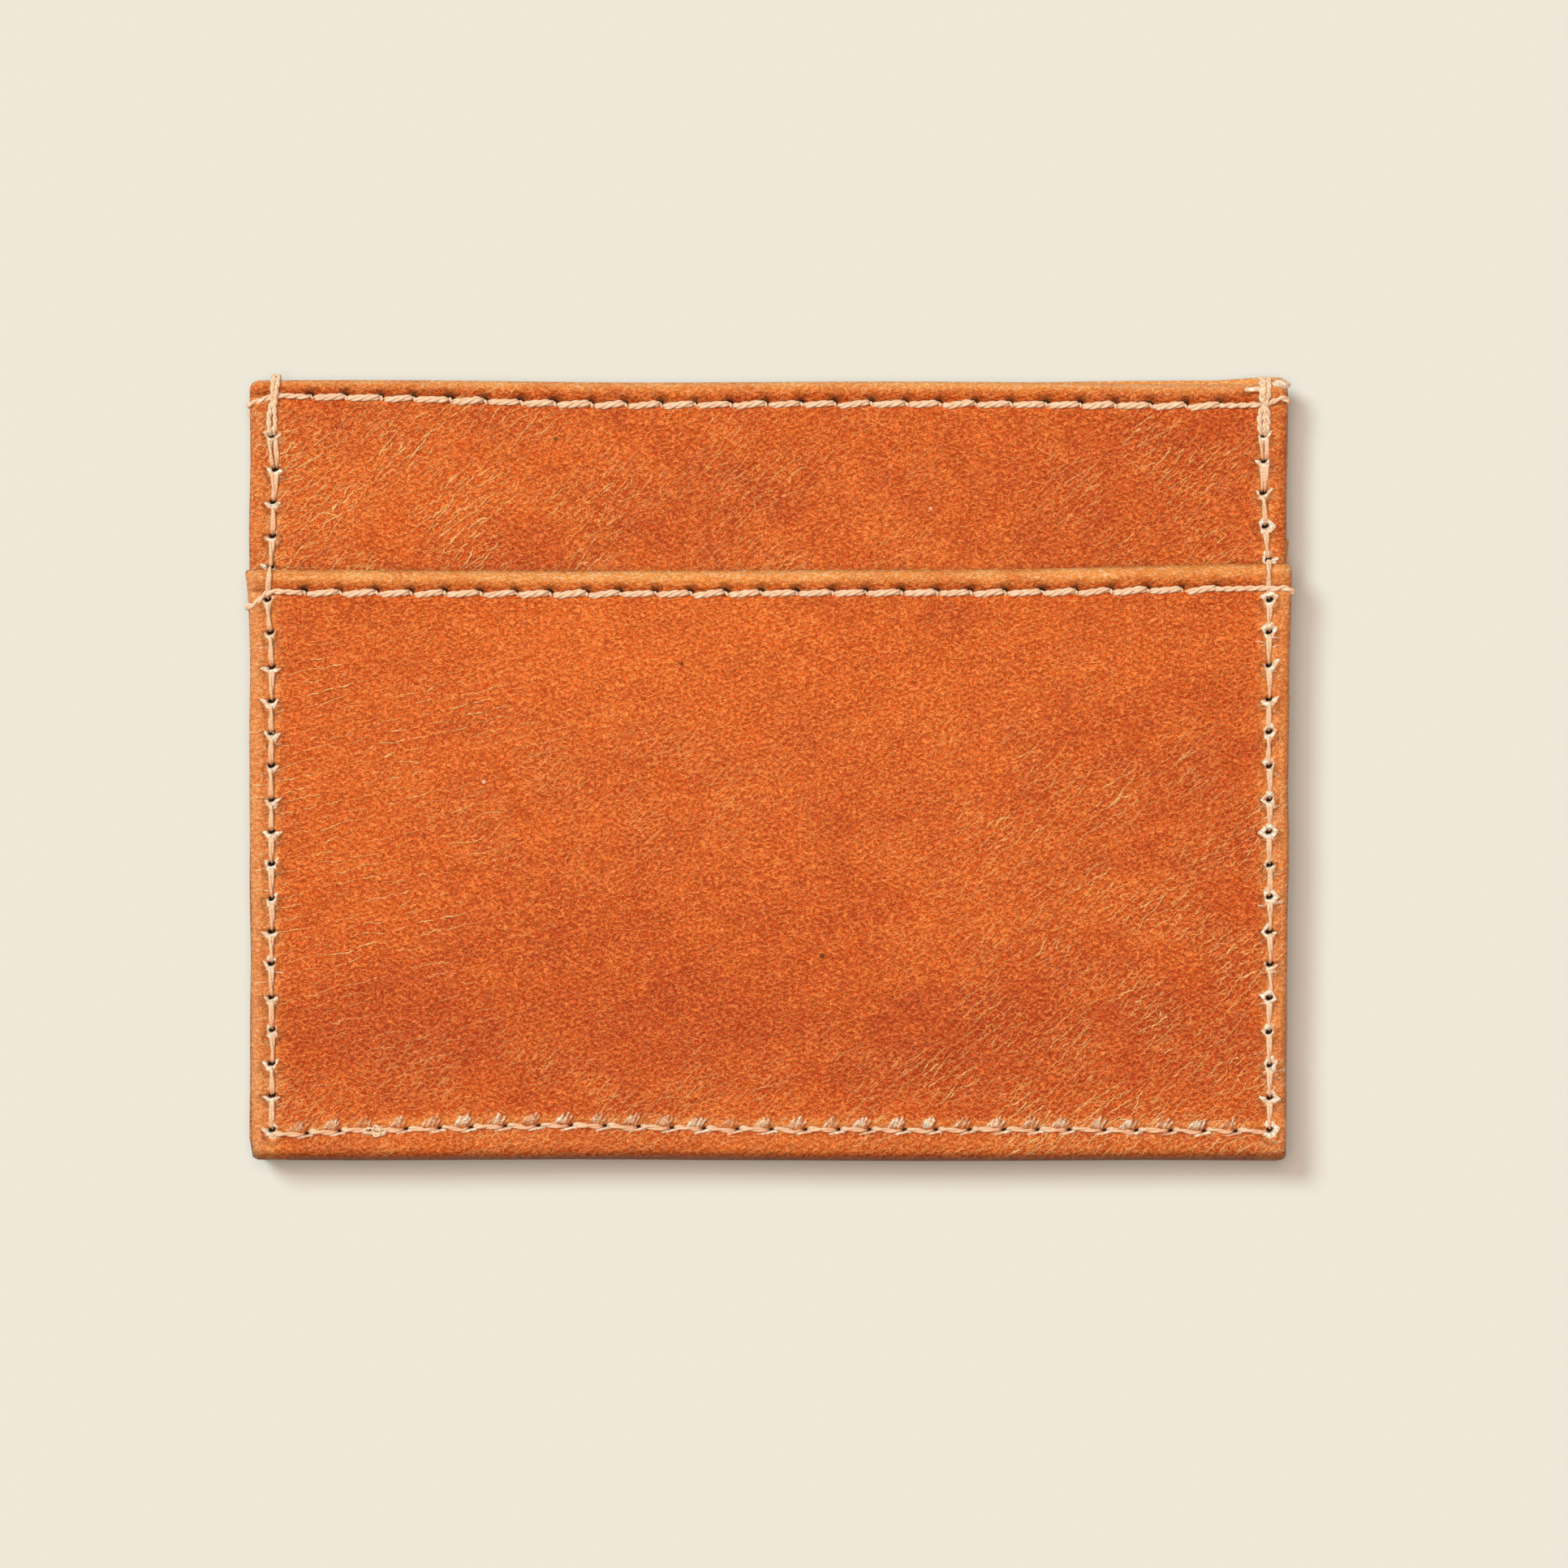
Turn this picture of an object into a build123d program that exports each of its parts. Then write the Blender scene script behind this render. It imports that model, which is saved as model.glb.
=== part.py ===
"""A sewn leather card holder, lying on its back, in millimetres.

X is its width, Y runs up to the mouths of its slots and Z up through its thickness. The origin is under the
middle of its box, on the surface that it lies on. Five leather panels lie on each other: two full panels
with a pocket between them, one pocket on the front and two on the back. Each panel's side and bottom edges
are turned in, and these turned edges hold the slots open for a card.
"""
import os

from build123d import *

# The whole holder
body_width = 101.6
body_height = 76.2
corner_radius = 0.8

# A bank card, which each slot has to take
card_width = 85.6
card_height = 53.98
card_thickness = 0.76
card_clearance = 0.04

# Leather. The slots are cut a little past their mouths, so that they are open there.
leather = 0.5
card_gap = card_thickness + card_clearance
centre_gap = 1.0
turned_side = 4.6
fold_radius = 0.4
past_the_mouth = 1.0

# Height of each pocket's mouth above the bottom edge
front_pocket_height = 57.4
back_upper_height = 61.0
back_lower_height = 47.5

# The pockets are a little wider than the panels at their mouths, where the hems are thick
pocket_mouth_width = 102.4
front_pocket_foot_width = 100.8
back_pocket_foot_width = 101.8

# Seams: thread, needle holes and the grooves that the stitches lie in
stitch_width = 0.6
stitch_height = 0.3
stitch_gap = 0.2
leg_diameter = 0.45
hole_diameter = 0.6
groove_width = 0.7
groove_depth = 0.2
leg_head = 0.2

# Rows along the hems
hem_drop = 2.0
hem_stitches = 28
hem_pitch = 3.4
stitches_in_turned_edge = 1

# The seam round the sides and the bottom
side_inset = 2.2
bottom_inset = 3.1
side_stitches = 21
bottom_stitches = 30
side_pitch = 3.236
loop_thickness = 0.3

# Worked out from the sizes above
bottom_y = -(body_height + loop_thickness) / 2
seam_x = body_width / 2 - side_inset
bottom_pitch = 2 * seam_x / bottom_stitches
turned_bottom = bottom_inset + hole_diameter / 2
slot_width = body_width - 2 * turned_side
half_centre = centre_gap / 2
assert slot_width > card_width
assert front_pocket_height - turned_bottom >= card_height

# Outer faces of the panels, from the one that it lies on to the front; each panel is one leather thick
UP = 1
DOWN = -1
back_lower_face = 0.0
back_upper_face = back_lower_face + leather + card_gap
back_panel_face = back_upper_face + leather + card_gap
front_panel_face = back_panel_face + leather + centre_gap + leather
front_pocket_face = front_panel_face + card_gap + leather
middle = back_panel_face + leather + centre_gap / 2

# Each side's panels from the outermost in: the height of its mouth, its outer face and its groove's depth.
# The panel that the holder lies on has deeper grooves, so that its stitches stay flush.
front_panels = [
    (front_pocket_height, front_pocket_face, groove_depth),
    (body_height, front_panel_face, groove_depth),
]
back_panels = [
    (back_lower_height, back_lower_face, stitch_height),
    (back_upper_height, back_upper_face, groove_depth),
    (body_height, back_panel_face, groove_depth),
]

side_holes = [bottom_inset + i * side_pitch for i in range(side_stitches + 1)]
bottom_holes = [-seam_x + i * bottom_pitch for i in range(1, bottom_stitches)]
hem_holes = [(i - hem_stitches / 2) * hem_pitch for i in range(hem_stitches + 1)]


def outline(height, mouth_width, foot_width, level):
    """The outline of a panel, on one level of the stack."""
    top_y = bottom_y + height
    with BuildSketch(Plane.XY.offset(level)) as sketch:
        with BuildLine():
            Polyline(
                (-foot_width / 2, bottom_y),
                (foot_width / 2, bottom_y),
                (mouth_width / 2, top_y),
                (-mouth_width / 2, top_y),
                close=True,
            )
        make_face()
        fillet(sketch.vertices(), corner_radius)
    return sketch.sketch


def bar(x, low, high, width, level):
    """An upright strip of one width, between two heights."""
    with BuildSketch(Plane.XY.offset(level)) as sketch:
        with Locations((x, bottom_y + low)):
            Rectangle(width, high - low, align=(Align.CENTER, Align.MIN))
    return sketch.sketch


def level_bar(length, height, width, level):
    """A strip along X, centred on one height."""
    with BuildSketch(Plane.XY.offset(level)) as sketch:
        with Locations((0, bottom_y + height)):
            Rectangle(length, width)
    return sketch.sketch


def dots(spots, diameter, level):
    """Round spots, each given by its X and its height."""
    with BuildSketch(Plane.XY.offset(level)) as sketch:
        with Locations(*[(x, bottom_y + height) for x, height in spots]):
            Circle(diameter / 2)
    return sketch.sketch


def dashes(spots, pitch, turn, level):
    """The outlines of stitches, centred on spots and turned from the X direction."""
    with BuildSketch(Plane.XY.offset(level)) as sketch:
        with Locations(*[(x, bottom_y + height) for x, height in spots]):
            SlotOverall(pitch - stitch_gap, stitch_width, rotation=turn)
    return sketch.sketch


def seam_holes(height):
    """Needle holes of the seam round the edge that go through a panel of this height."""
    sides = [(x, h) for x in (-seam_x, seam_x) for h in side_holes if h < height]
    return sides + [(x, bottom_inset) for x in bottom_holes]


def panel(height, mouth_width, foot_width, face, outward, turned_depth, depth, covered):
    """A leather panel whose side and bottom edges are turned in by turned_depth behind its sheet.

    The hem at its mouth is skived, so its two leaves together are as thick as the sheet. A panel outside
    this one hides it up to the height covered, so the seam's groove starts there.
    """
    inner_face = face - outward * leather
    thickness = leather + turned_depth
    with BuildPart() as piece:
        extrude(outline(height, mouth_width, foot_width, face), amount=-outward * thickness)
        room = bar(0, turned_bottom, height + past_the_mouth, slot_width, inner_face)
        extrude(room, amount=-outward * turned_depth, mode=Mode.SUBTRACT)
        outer = piece.faces().filter_by(Axis.Z).sort_by(Axis.Z)[-1 if outward == UP else 0]
        fillet(outer.edges(), fold_radius)

        holes = seam_holes(height) + [(x, height - hem_drop) for x in hem_holes]
        extrude(dots(holes, hole_diameter, face), amount=-outward * thickness, mode=Mode.SUBTRACT)
        hem_length = hem_stitches * hem_pitch + groove_width
        hem_groove = level_bar(hem_length, height - hem_drop, groove_width, face)
        extrude(hem_groove, amount=-outward * depth, mode=Mode.SUBTRACT)
        groove_foot = covered if covered else bottom_inset
        for x in (-seam_x, seam_x):
            side_groove = bar(x, groove_foot, height, groove_width, face)
            extrude(side_groove, amount=-outward * depth, mode=Mode.SUBTRACT)
        if not covered:
            bottom_groove = level_bar(2 * seam_x + groove_width, bottom_inset, groove_width, face)
            extrude(bottom_groove, amount=-outward * depth, mode=Mode.SUBTRACT)
    return piece


def hem_thread(height, face, direction, depth, meet, holes):
    """One of the two threads of a hem's row: stitches on a face of the hem, and a leg in each hole.

    The two threads of a row lock where their legs meet, inside the hem.
    """
    floor = face - direction * depth
    row = height - hem_drop
    middles = [(a + b) / 2 for a, b in zip(holes, holes[1:])]
    with BuildPart() as thread:
        stitches = dashes([(x, row) for x in middles], hem_pitch, 0, floor)
        extrude(stitches, amount=direction * stitch_height)
        legs = dots([(x, row) for x in holes], leg_diameter, meet)
        extrude(legs, amount=floor - meet + direction * leg_head)
    return thread


def seam_floor(panels, height, direction):
    """Where a stitch of the edge seam lies: the floor of the groove in the outermost panel there."""
    face, depth = next((face, depth) for mouth, face, depth in panels if mouth > height)
    return face - direction * depth


def edge_thread(panels, direction):
    """One of the two threads of the seam through all the panels, which locks with the other in the middle.

    Where a pocket ends, the leg in the next hole reaches up to the pocket's face. At the top, the last
    stitch on each side goes over the edge of the holder.
    """
    upper_ends = zip(side_holes, side_holes[1:])
    side_runs = [(a + side_pitch / 2, seam_floor(panels, (a + b) / 2, direction)) for a, b in upper_ends]
    pocket_floor = seam_floor(panels, bottom_inset, direction)
    top_floor = seam_floor(panels, side_holes[-1], direction)
    with BuildPart() as thread:
        for floor in sorted({floor for _, floor in side_runs}):
            heights = [height for height, level in side_runs if level == floor]
            spots = [(x, height) for x in (-seam_x, seam_x) for height in heights]
            extrude(dashes(spots, side_pitch, 90, floor), amount=direction * stitch_height)
            ends = [(x, height - side_pitch / 2) for x, height in spots]
            ends += [(x, height + side_pitch / 2) for x, height in spots]
            legs = dots(sorted(set(ends)), leg_diameter, middle)
            extrude(legs, amount=floor - middle + direction * leg_head)

        bottom_middles = [-seam_x + (i + 0.5) * bottom_pitch for i in range(bottom_stitches)]
        stitches = dashes([(x, bottom_inset) for x in bottom_middles], bottom_pitch, 0, pocket_floor)
        extrude(stitches, amount=direction * stitch_height)
        legs = dots([(x, bottom_inset) for x in bottom_holes], leg_diameter, middle)
        extrude(legs, amount=pocket_floor - middle + direction * leg_head)

        for x in (-seam_x, seam_x):
            over = bar(x, side_holes[-1], body_height, stitch_width, top_floor)
            extrude(over, amount=direction * stitch_height)
            drop = bar(x, body_height, body_height + loop_thickness, stitch_width, middle)
            extrude(drop, amount=top_floor - middle + direction * stitch_height)
    return thread


def save(piece, name):
    """Label a piece and write it."""
    piece.part.label = name
    export_step(piece.part, f"parts/{name}.step")


os.makedirs("parts", exist_ok=True)

front_pocket = panel(
    front_pocket_height, pocket_mouth_width, front_pocket_foot_width,
    front_pocket_face, UP, card_gap, groove_depth, 0,
)
save(front_pocket, "front_pocket")

front_panel = panel(
    body_height, body_width, body_width,
    front_panel_face, UP, half_centre, groove_depth, front_pocket_height,
)
save(front_panel, "front_panel")

back_panel = panel(
    body_height, body_width, body_width,
    back_panel_face, DOWN, half_centre, groove_depth, back_upper_height,
)
save(back_panel, "back_panel")

back_upper_pocket = panel(
    back_upper_height, pocket_mouth_width, back_pocket_foot_width,
    back_upper_face, DOWN, card_gap, groove_depth, back_lower_height,
)
save(back_upper_pocket, "back_upper_pocket")

back_lower_pocket = panel(
    back_lower_height, pocket_mouth_width, back_pocket_foot_width,
    back_lower_face, DOWN, card_gap, stitch_height, 0,
)
save(back_lower_pocket, "back_lower_pocket")

# The two threads of each hem's row: the outer one shows, and the inner one lies in the slot
inner_holes = hem_holes[stitches_in_turned_edge:-stitches_in_turned_edge]
hems = {
    "front_pocket": (front_pocket_height, front_pocket_face, UP, groove_depth),
    "front_panel": (body_height, front_panel_face, UP, groove_depth),
    "back_panel": (body_height, back_panel_face, DOWN, groove_depth),
    "back_upper_pocket": (back_upper_height, back_upper_face, DOWN, groove_depth),
    "back_lower_pocket": (back_lower_height, back_lower_face, DOWN, stitch_height),
}
for hem, (height, face, outward, depth) in hems.items():
    inner_face = face - outward * leather
    meet = (face - outward * depth + inner_face) / 2
    outer_thread = hem_thread(height, face, outward, depth, meet, hem_holes)
    save(outer_thread, f"{hem}_hem_outer_thread")
    inner_thread = hem_thread(height, inner_face, -outward, 0, meet, inner_holes)
    save(inner_thread, f"{hem}_hem_inner_thread")

front_edge_thread = edge_thread(front_panels, UP)
save(front_edge_thread, "front_edge_thread")
back_edge_thread = edge_thread(back_panels, DOWN)
save(back_edge_thread, "back_edge_thread")
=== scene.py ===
"""The looks of a sewn leather card holder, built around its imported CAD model.

Lengths in this script are in millimetres, and become metres as each mesh is made. "Out" is the
direction that a panel's outer face looks in: up on the front of the holder, down on its back.
"""
import math

import bmesh
import bpy
import numpy as np
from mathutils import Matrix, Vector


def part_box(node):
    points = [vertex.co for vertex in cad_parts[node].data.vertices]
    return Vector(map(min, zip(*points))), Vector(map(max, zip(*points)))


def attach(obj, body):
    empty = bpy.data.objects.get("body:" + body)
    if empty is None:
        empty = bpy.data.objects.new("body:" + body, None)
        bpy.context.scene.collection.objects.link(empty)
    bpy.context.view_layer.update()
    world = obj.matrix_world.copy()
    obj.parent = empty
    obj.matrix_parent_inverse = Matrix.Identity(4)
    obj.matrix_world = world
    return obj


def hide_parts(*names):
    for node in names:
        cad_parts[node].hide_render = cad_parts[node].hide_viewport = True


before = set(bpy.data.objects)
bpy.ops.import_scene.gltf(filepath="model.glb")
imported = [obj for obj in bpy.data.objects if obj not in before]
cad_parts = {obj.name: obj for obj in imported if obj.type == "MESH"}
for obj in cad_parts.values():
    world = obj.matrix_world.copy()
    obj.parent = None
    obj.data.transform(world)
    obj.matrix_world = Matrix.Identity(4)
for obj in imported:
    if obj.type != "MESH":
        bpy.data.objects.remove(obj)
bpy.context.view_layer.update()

MM = 0.001
UP = 1
DOWN = -1
ON_THE_FLOOR = 0.01


# ---------------------------------------------------------------- small helpers


def smooth(low, high, value):
    """0 below low, 1 above high, and a smooth step between them."""
    t = np.clip((value - low) / (high - low), 0, 1)
    return t * t * (3 - 2 * t)


def bump(value, centre, width):
    """A bell curve of height 1."""
    return np.exp(-(((value - centre) / width) ** 2))


def ripple(x, y, wavelength, seed, waves=14):
    """Smooth random waves of about one wavelength, mostly between -1 and 1."""
    random = np.random.default_rng(seed)
    total = np.zeros_like(x, dtype=float)
    for _ in range(waves):
        turn = random.uniform(0, math.tau)
        size = wavelength * random.uniform(0.7, 1.6)
        phase = random.uniform(0, math.tau)
        total += np.sin(math.tau * (x * math.cos(turn) + y * math.sin(turn)) / size + phase)
    return total / math.sqrt(waves)


def box_mm(node):
    """A CAD node's lowest and highest corners, in millimetres."""
    low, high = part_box(node)
    return np.array(low) / MM, np.array(high) / MM


def segment_distance(x, y, start, end):
    """Distance from points to a segment, and how far along it the nearest place is, from 0 to 1."""
    dx, dy = end[0] - start[0], end[1] - start[1]
    along = np.clip(((x - start[0]) * dx + (y - start[1]) * dy) / (dx * dx + dy * dy), 0, 1)
    return np.hypot(x - start[0] - along * dx, y - start[1] - along * dy), along


# ---------------------------------------------------------------- sizes

# Leather: one leaf, and the turned edges, where a panel is as thick as the slot behind it
LEATHER = 0.5
SIDE_BAND = 4.6
BOTTOM_BAND = 3.4

# The hem at a panel's mouth: how far down it reaches, how thick it is and how far its roll stands up
HEM_DEPTH = 7.0
HEM_THICKNESS = 0.85
HEM_RISE = 0.3

# How far in from its rim a panel's outer face rolls over, and the share of its thickness lost at the foot
SIDE_FOLD = 0.62
BOTTOM_FOLD = 1.25
MOUTH_FOLD = 0.5
FOOT_SHARE = 0.85

# Stitches
HEM_PITCH = 3.42
EDGE_PITCH = 3.23
HEM_ROW_START = -45.2
HEM_ROW_END = 47.0
THREAD_RADIUS = 0.36
EDGE_THREAD_RADIUS = 0.28

# The highest and lowest holes of the edge seam's sides. A few on the right lie above even spacing.
SEAM_TOP = 32.65
SEAM_FOOT = -35.15
HIGH_HOLES = slice(1, 5)
HIGH_HOLES_RISE = 0.85

# The backstitches at the top of each side: where they lie widest apart, and where they cross
BUNDLE_SWELL_Y = 34.9
BUNDLE_CROSS_Y = 36.1

# The mesh: its spacing where it shows and where it is hidden, and the cuts across it along the seams
COARSE = 0.45
HIDDEN = 2.2
FINE_CUTS = 3

# For a panel that shows from its foot up
WHOLE = -60

# How golden a panel's inner face is
INSIDE_PALE = 0.85


# ---------------------------------------------------------------- seams


def side_seam_x(y, side):
    """Where the edge seam runs, up the left (-1) or right (1) side. It wanders a little."""
    if side < 0:
        return -48.4 + 0.3 * bump(y, 28.5, 2.5) - 0.35 * bump(y, 16.5, 3.5)
    return 48.95 - 0.5 * smooth(18, 27, y)


def bottom_seam_y(x):
    """Where the edge seam runs along the bottom."""
    return -35.2 + 0.42 * bump(x, -20, 12) - 0.55 * smooth(-38, -49, x) - 0.15 * smooth(25, 48, x)


def side_holes(side):
    """Needle holes up one side, from the top down."""
    random = np.random.default_rng(31 + side)
    count = round((SEAM_TOP - SEAM_FOOT) / EDGE_PITCH)
    heights = np.linspace(SEAM_TOP, SEAM_FOOT, count + 1)
    heights[1:-1] += random.uniform(-0.16, 0.16, count - 1)
    if side > 0:
        heights[HIGH_HOLES] += HIGH_HOLES_RISE
    return [(float(side_seam_x(y, side)) + random.uniform(-0.05, 0.05), float(y)) for y in heights]


def bottom_holes():
    """Needle holes along the bottom, from the left seam to the right one."""
    random = np.random.default_rng(41)
    start, end = side_seam_x(SEAM_FOOT, -1), side_seam_x(SEAM_FOOT, 1)
    count = round((end - start) / EDGE_PITCH)
    places = np.linspace(start, end, count + 1)
    places[1:-1] += random.uniform(-0.15, 0.15, count - 1)
    return [(float(x), float(bottom_seam_y(x))) for x in places]


LEFT_HOLES = side_holes(-1)
RIGHT_HOLES = side_holes(1)
BOTTOM_HOLES = bottom_holes()


# ---------------------------------------------------------------- panels


class Panel:
    """One leather panel: its place in the CAD, its outline and its hem's row of stitches.

    sides: how far its left and right edges are from the middle, each at the foot and at the mouth
    flares: how much further out they go at the very mouth
    mouth_line: height of the mouth above the CAD's, along X
    row_drop: how far the hem's stitches lie below the mouth, along X
    shown_from: the Y above which it shows
    band_pale: how golden its turned side edges are
    sink: how far its outer face lies inside the CAD's
    """

    def __init__(self, node, outward, sides, flares, mouth_line, row_drop, shown_from, seed, band_pale,
                 sink=0.0):
        low, high = box_mm(node)
        self.node = node
        self.outward = outward
        self.face = (high[2] if outward == UP else low[2]) - outward * sink
        self.foot = low[1]
        self.mouth = high[1]
        self.sides = sides
        self.flares = flares
        self.mouth_line = mouth_line
        self.row_drop = row_drop
        self.shown_from = shown_from
        self.seed = seed
        self.band_pale = band_pale
        self.thick = high[2] - low[2] - sink
        self.pressed = outward == DOWN and low[2] < ON_THE_FLOOR
        self.height = self.mouth - self.foot
        random = np.random.default_rng(seed)
        first = HEM_ROW_START + 0.4 * (seed % 3)
        places = np.arange(first, HEM_ROW_END, HEM_PITCH)
        places += random.uniform(-0.12, 0.12, len(places))
        self.row_holes = [(float(x), float(self.row_y(x))) for x in places]

    def mouth_y(self, x):
        return self.mouth + self.mouth_line(x)

    def foot_y(self, x):
        return self.foot + 0.07 * np.sin(x / 9 + self.seed) + 0.1 - 0.0012 * x

    def row_y(self, x):
        return self.mouth_y(x) - self.row_drop(x)

    def side_x(self, y, side):
        """The left or right edge: tapered, flared at the mouth and a little wavy."""
        foot, upper = self.sides[0 if side < 0 else 1]
        flare = self.flares[0 if side < 0 else 1]
        t = np.clip((y - self.foot) / self.height, 0, 1)
        wave = 0.05 * np.sin(y / 4.3 + self.seed + side) + 0.03 * np.sin(y / 1.9 + 2 * self.seed)
        return side * (foot + (upper - foot) * t + flare * np.exp(-(self.mouth - y) / 1.6) + wave)

    def place(self, u, v):
        """X and Y of a place on the panel: u runs from -1 to 1 across it and v from 0 to 1 up it."""
        nominal_y = self.foot + v * self.height
        left, right = self.side_x(nominal_y, -1), self.side_x(nominal_y, 1)
        x = left + (right - left) * (u + 1) / 2
        low, high = self.foot_y(x), self.mouth_y(x)
        return x, low + (high - low) * v

    def thickness(self, across, up, down):
        """Thickness at distances from the nearest side, the foot and the mouth."""
        side = smooth(SIDE_BAND + 0.2, SIDE_BAND - 0.2, across)
        foot = smooth(BOTTOM_BAND + 0.2, BOTTOM_BAND - 0.2, up)
        hem = smooth(HEM_DEPTH + 0.3, HEM_DEPTH - 0.3, down)
        band = np.maximum(side, foot) * (self.thick - LEATHER)
        return LEATHER + np.maximum(band, hem * (HEM_THICKNESS - LEATHER))


def rounded(u, v, half_width, height, radius):
    """Bring the corners of a rectangle in to a radius. u and v are millimetres, v from the foot up."""
    a = np.clip((np.abs(u) - (half_width - radius)) / radius, 0, 1)
    above = np.clip((v - (height - radius)) / radius, 0, 1)
    below = np.clip((radius - v) / radius, 0, 1)
    b = np.maximum(above, below)
    inside = (a > 0) & (b > 0)
    new_a = np.where(inside, a * np.sqrt(1 - b * b / 2), a)
    new_b = np.where(inside, b * np.sqrt(1 - a * a / 2), b)
    new_u = np.where(inside, np.sign(u) * (half_width - radius + radius * new_a), u)
    sign = np.where(above > 0, 1, -1)
    base = np.where(above > 0, height - radius, radius)
    new_v = np.where(inside, base + sign * radius * new_b, v)
    return new_u, new_v


def quarter(distance, radius):
    """Height of a rounded fold, from 0 at the very edge to 1 at its radius and beyond."""
    t = np.clip(distance / radius, 0, 1)
    return np.sqrt(np.clip(1 - (1 - t) ** 2, 0, 1))


# ---------------------------------------------------------------- relief of a panel's outer face


# tone is lightness, pale the golden look of a fold, edge the pinker look of a worn side, dark painted
# shade, raw torn fibres and pit a hole, painted dark inside as its shade. The last two say where the hide
# is creased.
PAINTS = ("tone", "pale", "edge", "dark", "raw", "pit", "slanted", "level")


class Relief:
    """Heights and paints gathered over a set of points on a panel's outer face."""

    def __init__(self, panel, x, y):
        self.panel = panel
        self.x = x
        self.y = y
        self.out = np.zeros_like(x)
        self.paint = {name: np.zeros_like(x) for name in PAINTS}

        # Distances in from the edge seam, and the share of the way up the hem
        self.mouth = panel.mouth_y(x)
        self.row = panel.row_y(x)
        self.from_left = x - side_seam_x(y, -1)
        self.from_right = side_seam_x(y, 1) - x
        self.from_foot = y - bottom_seam_y(x)
        self.hem = np.clip((y - self.row) / np.maximum(self.mouth - self.row, 0.1), 0, 1)

    def add_paint(self, name, amount, index=slice(None)):
        """Paint some of the points, where the amount is more than the paint that is there."""
        self.paint[name][index] = np.maximum(self.paint[name][index], amount)


class Spot:
    """The part of a relief round a needle hole, with X and Y measured from the hole."""

    def __init__(self, relief, hole, reach):
        self.relief = relief
        x, y = relief.x - hole[0], relief.y - hole[1]
        self.index = np.nonzero((np.abs(x) < reach) & (np.abs(y) < reach))[0]
        self.x = x[self.index]
        self.y = y[self.index]

    def empty(self):
        return len(self.index) == 0

    def lift(self, amount):
        self.relief.out[self.index] += amount

    def paint(self, name, amount):
        self.relief.add_paint(name, amount, self.index)

    def dig(self, depth, shape):
        """A hole of a depth: painted dark inside as its shade, with no torn fibres left in it."""
        self.lift(-depth * shape)
        self.paint("pit", shape)
        self.relief.paint["raw"][self.index] *= 1 - shape

    def from_line(self, start, end):
        """Distance from a short line, and how far along it the nearest place is, from 0 to 1."""
        return segment_distance(self.x, self.y, start, end)


def wrinkles(spot, across, along, random, reach=1.1):
    """Short creases at right angles to a seam, pulled in by its stitches."""
    phase = random.uniform(0, math.tau)
    wave = np.sin(along * math.tau / 0.42 + phase + 1.2 * np.sin(across * 2.1 + phase))
    spot.lift(0.035 * wave * bump(np.abs(across), 0.85, 0.55) * bump(along, 0, reach))


def stray_fibres(spot, strength, random):
    """A few thin fibres that stand off to both sides, below a needle hole."""
    for number in range(random.integers(2, 7)):
        side = -1 if number % 2 else 1
        root = (side * random.uniform(0.26, 0.4), random.uniform(-1.5, -0.55))
        tip = (root[0] + side * random.uniform(0.3, 0.9), root[1] + random.uniform(-0.15, 0.35))
        fibre = bump(spot.from_line(root, tip)[0], 0, 0.1)
        spot.lift(strength * 0.07 * fibre)
        spot.paint("raw", strength * random.uniform(0.2, 0.62) * fibre)


def side_hole(relief, hole, random, strength):
    """A needle hole of a side seam: a dark pit over a torn lip of pale fibres, shaped like a V."""
    spot = Spot(relief, hole, 2.2)
    if spot.empty():
        return
    wrinkles(spot, spot.x, spot.y, random)
    vertex = (random.uniform(-0.1, 0.1), -0.44 + random.uniform(-0.06, 0.06))
    left = (-0.8 + random.uniform(-0.25, 0.45), 0.02 + random.uniform(-0.25, 0.35))
    right = (0.74 + random.uniform(-0.45, 0.25), 0.3 + random.uniform(-0.5, 0.2))
    above = (random.uniform(-0.1, 0.1), 0.42 + random.uniform(0, 0.15))

    # Some lips close above the hole as well, more of them on the right side
    torn = [(vertex, left), (vertex, right)]
    closed = 0.08 if hole[0] < 0 else 0.5
    torn += [(above, tip) for tip in (left, right) if random.uniform(0, 1) < closed]
    stray_fibres(spot, strength, random)
    for start, tip in torn:
        size = random.uniform(0.8, 1.25)
        off, along = spot.from_line(start, tip)
        width = size * (0.4 - 0.29 * along)
        spot.lift(strength * 0.26 * bump(off, 0, width) * (1 - 0.6 * along))
        spot.paint("raw", strength * size * np.exp(-((off / width) ** 4)))
        # Painted shadow along each torn lip, below the hole
        spot.paint("dark", 0.5 * bump(off, 2.1 * width, 0.16) * (spot.y < 0.2))

    tilt = 0.5 + random.uniform(-0.2, 0.2)
    long_way, short_way = spot.x + tilt * spot.y, spot.y - tilt * spot.x
    spot.dig(0.6, np.exp(-(((long_way / 0.42) ** 2 + (short_way / 0.28) ** 2) ** 1.8)))


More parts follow.
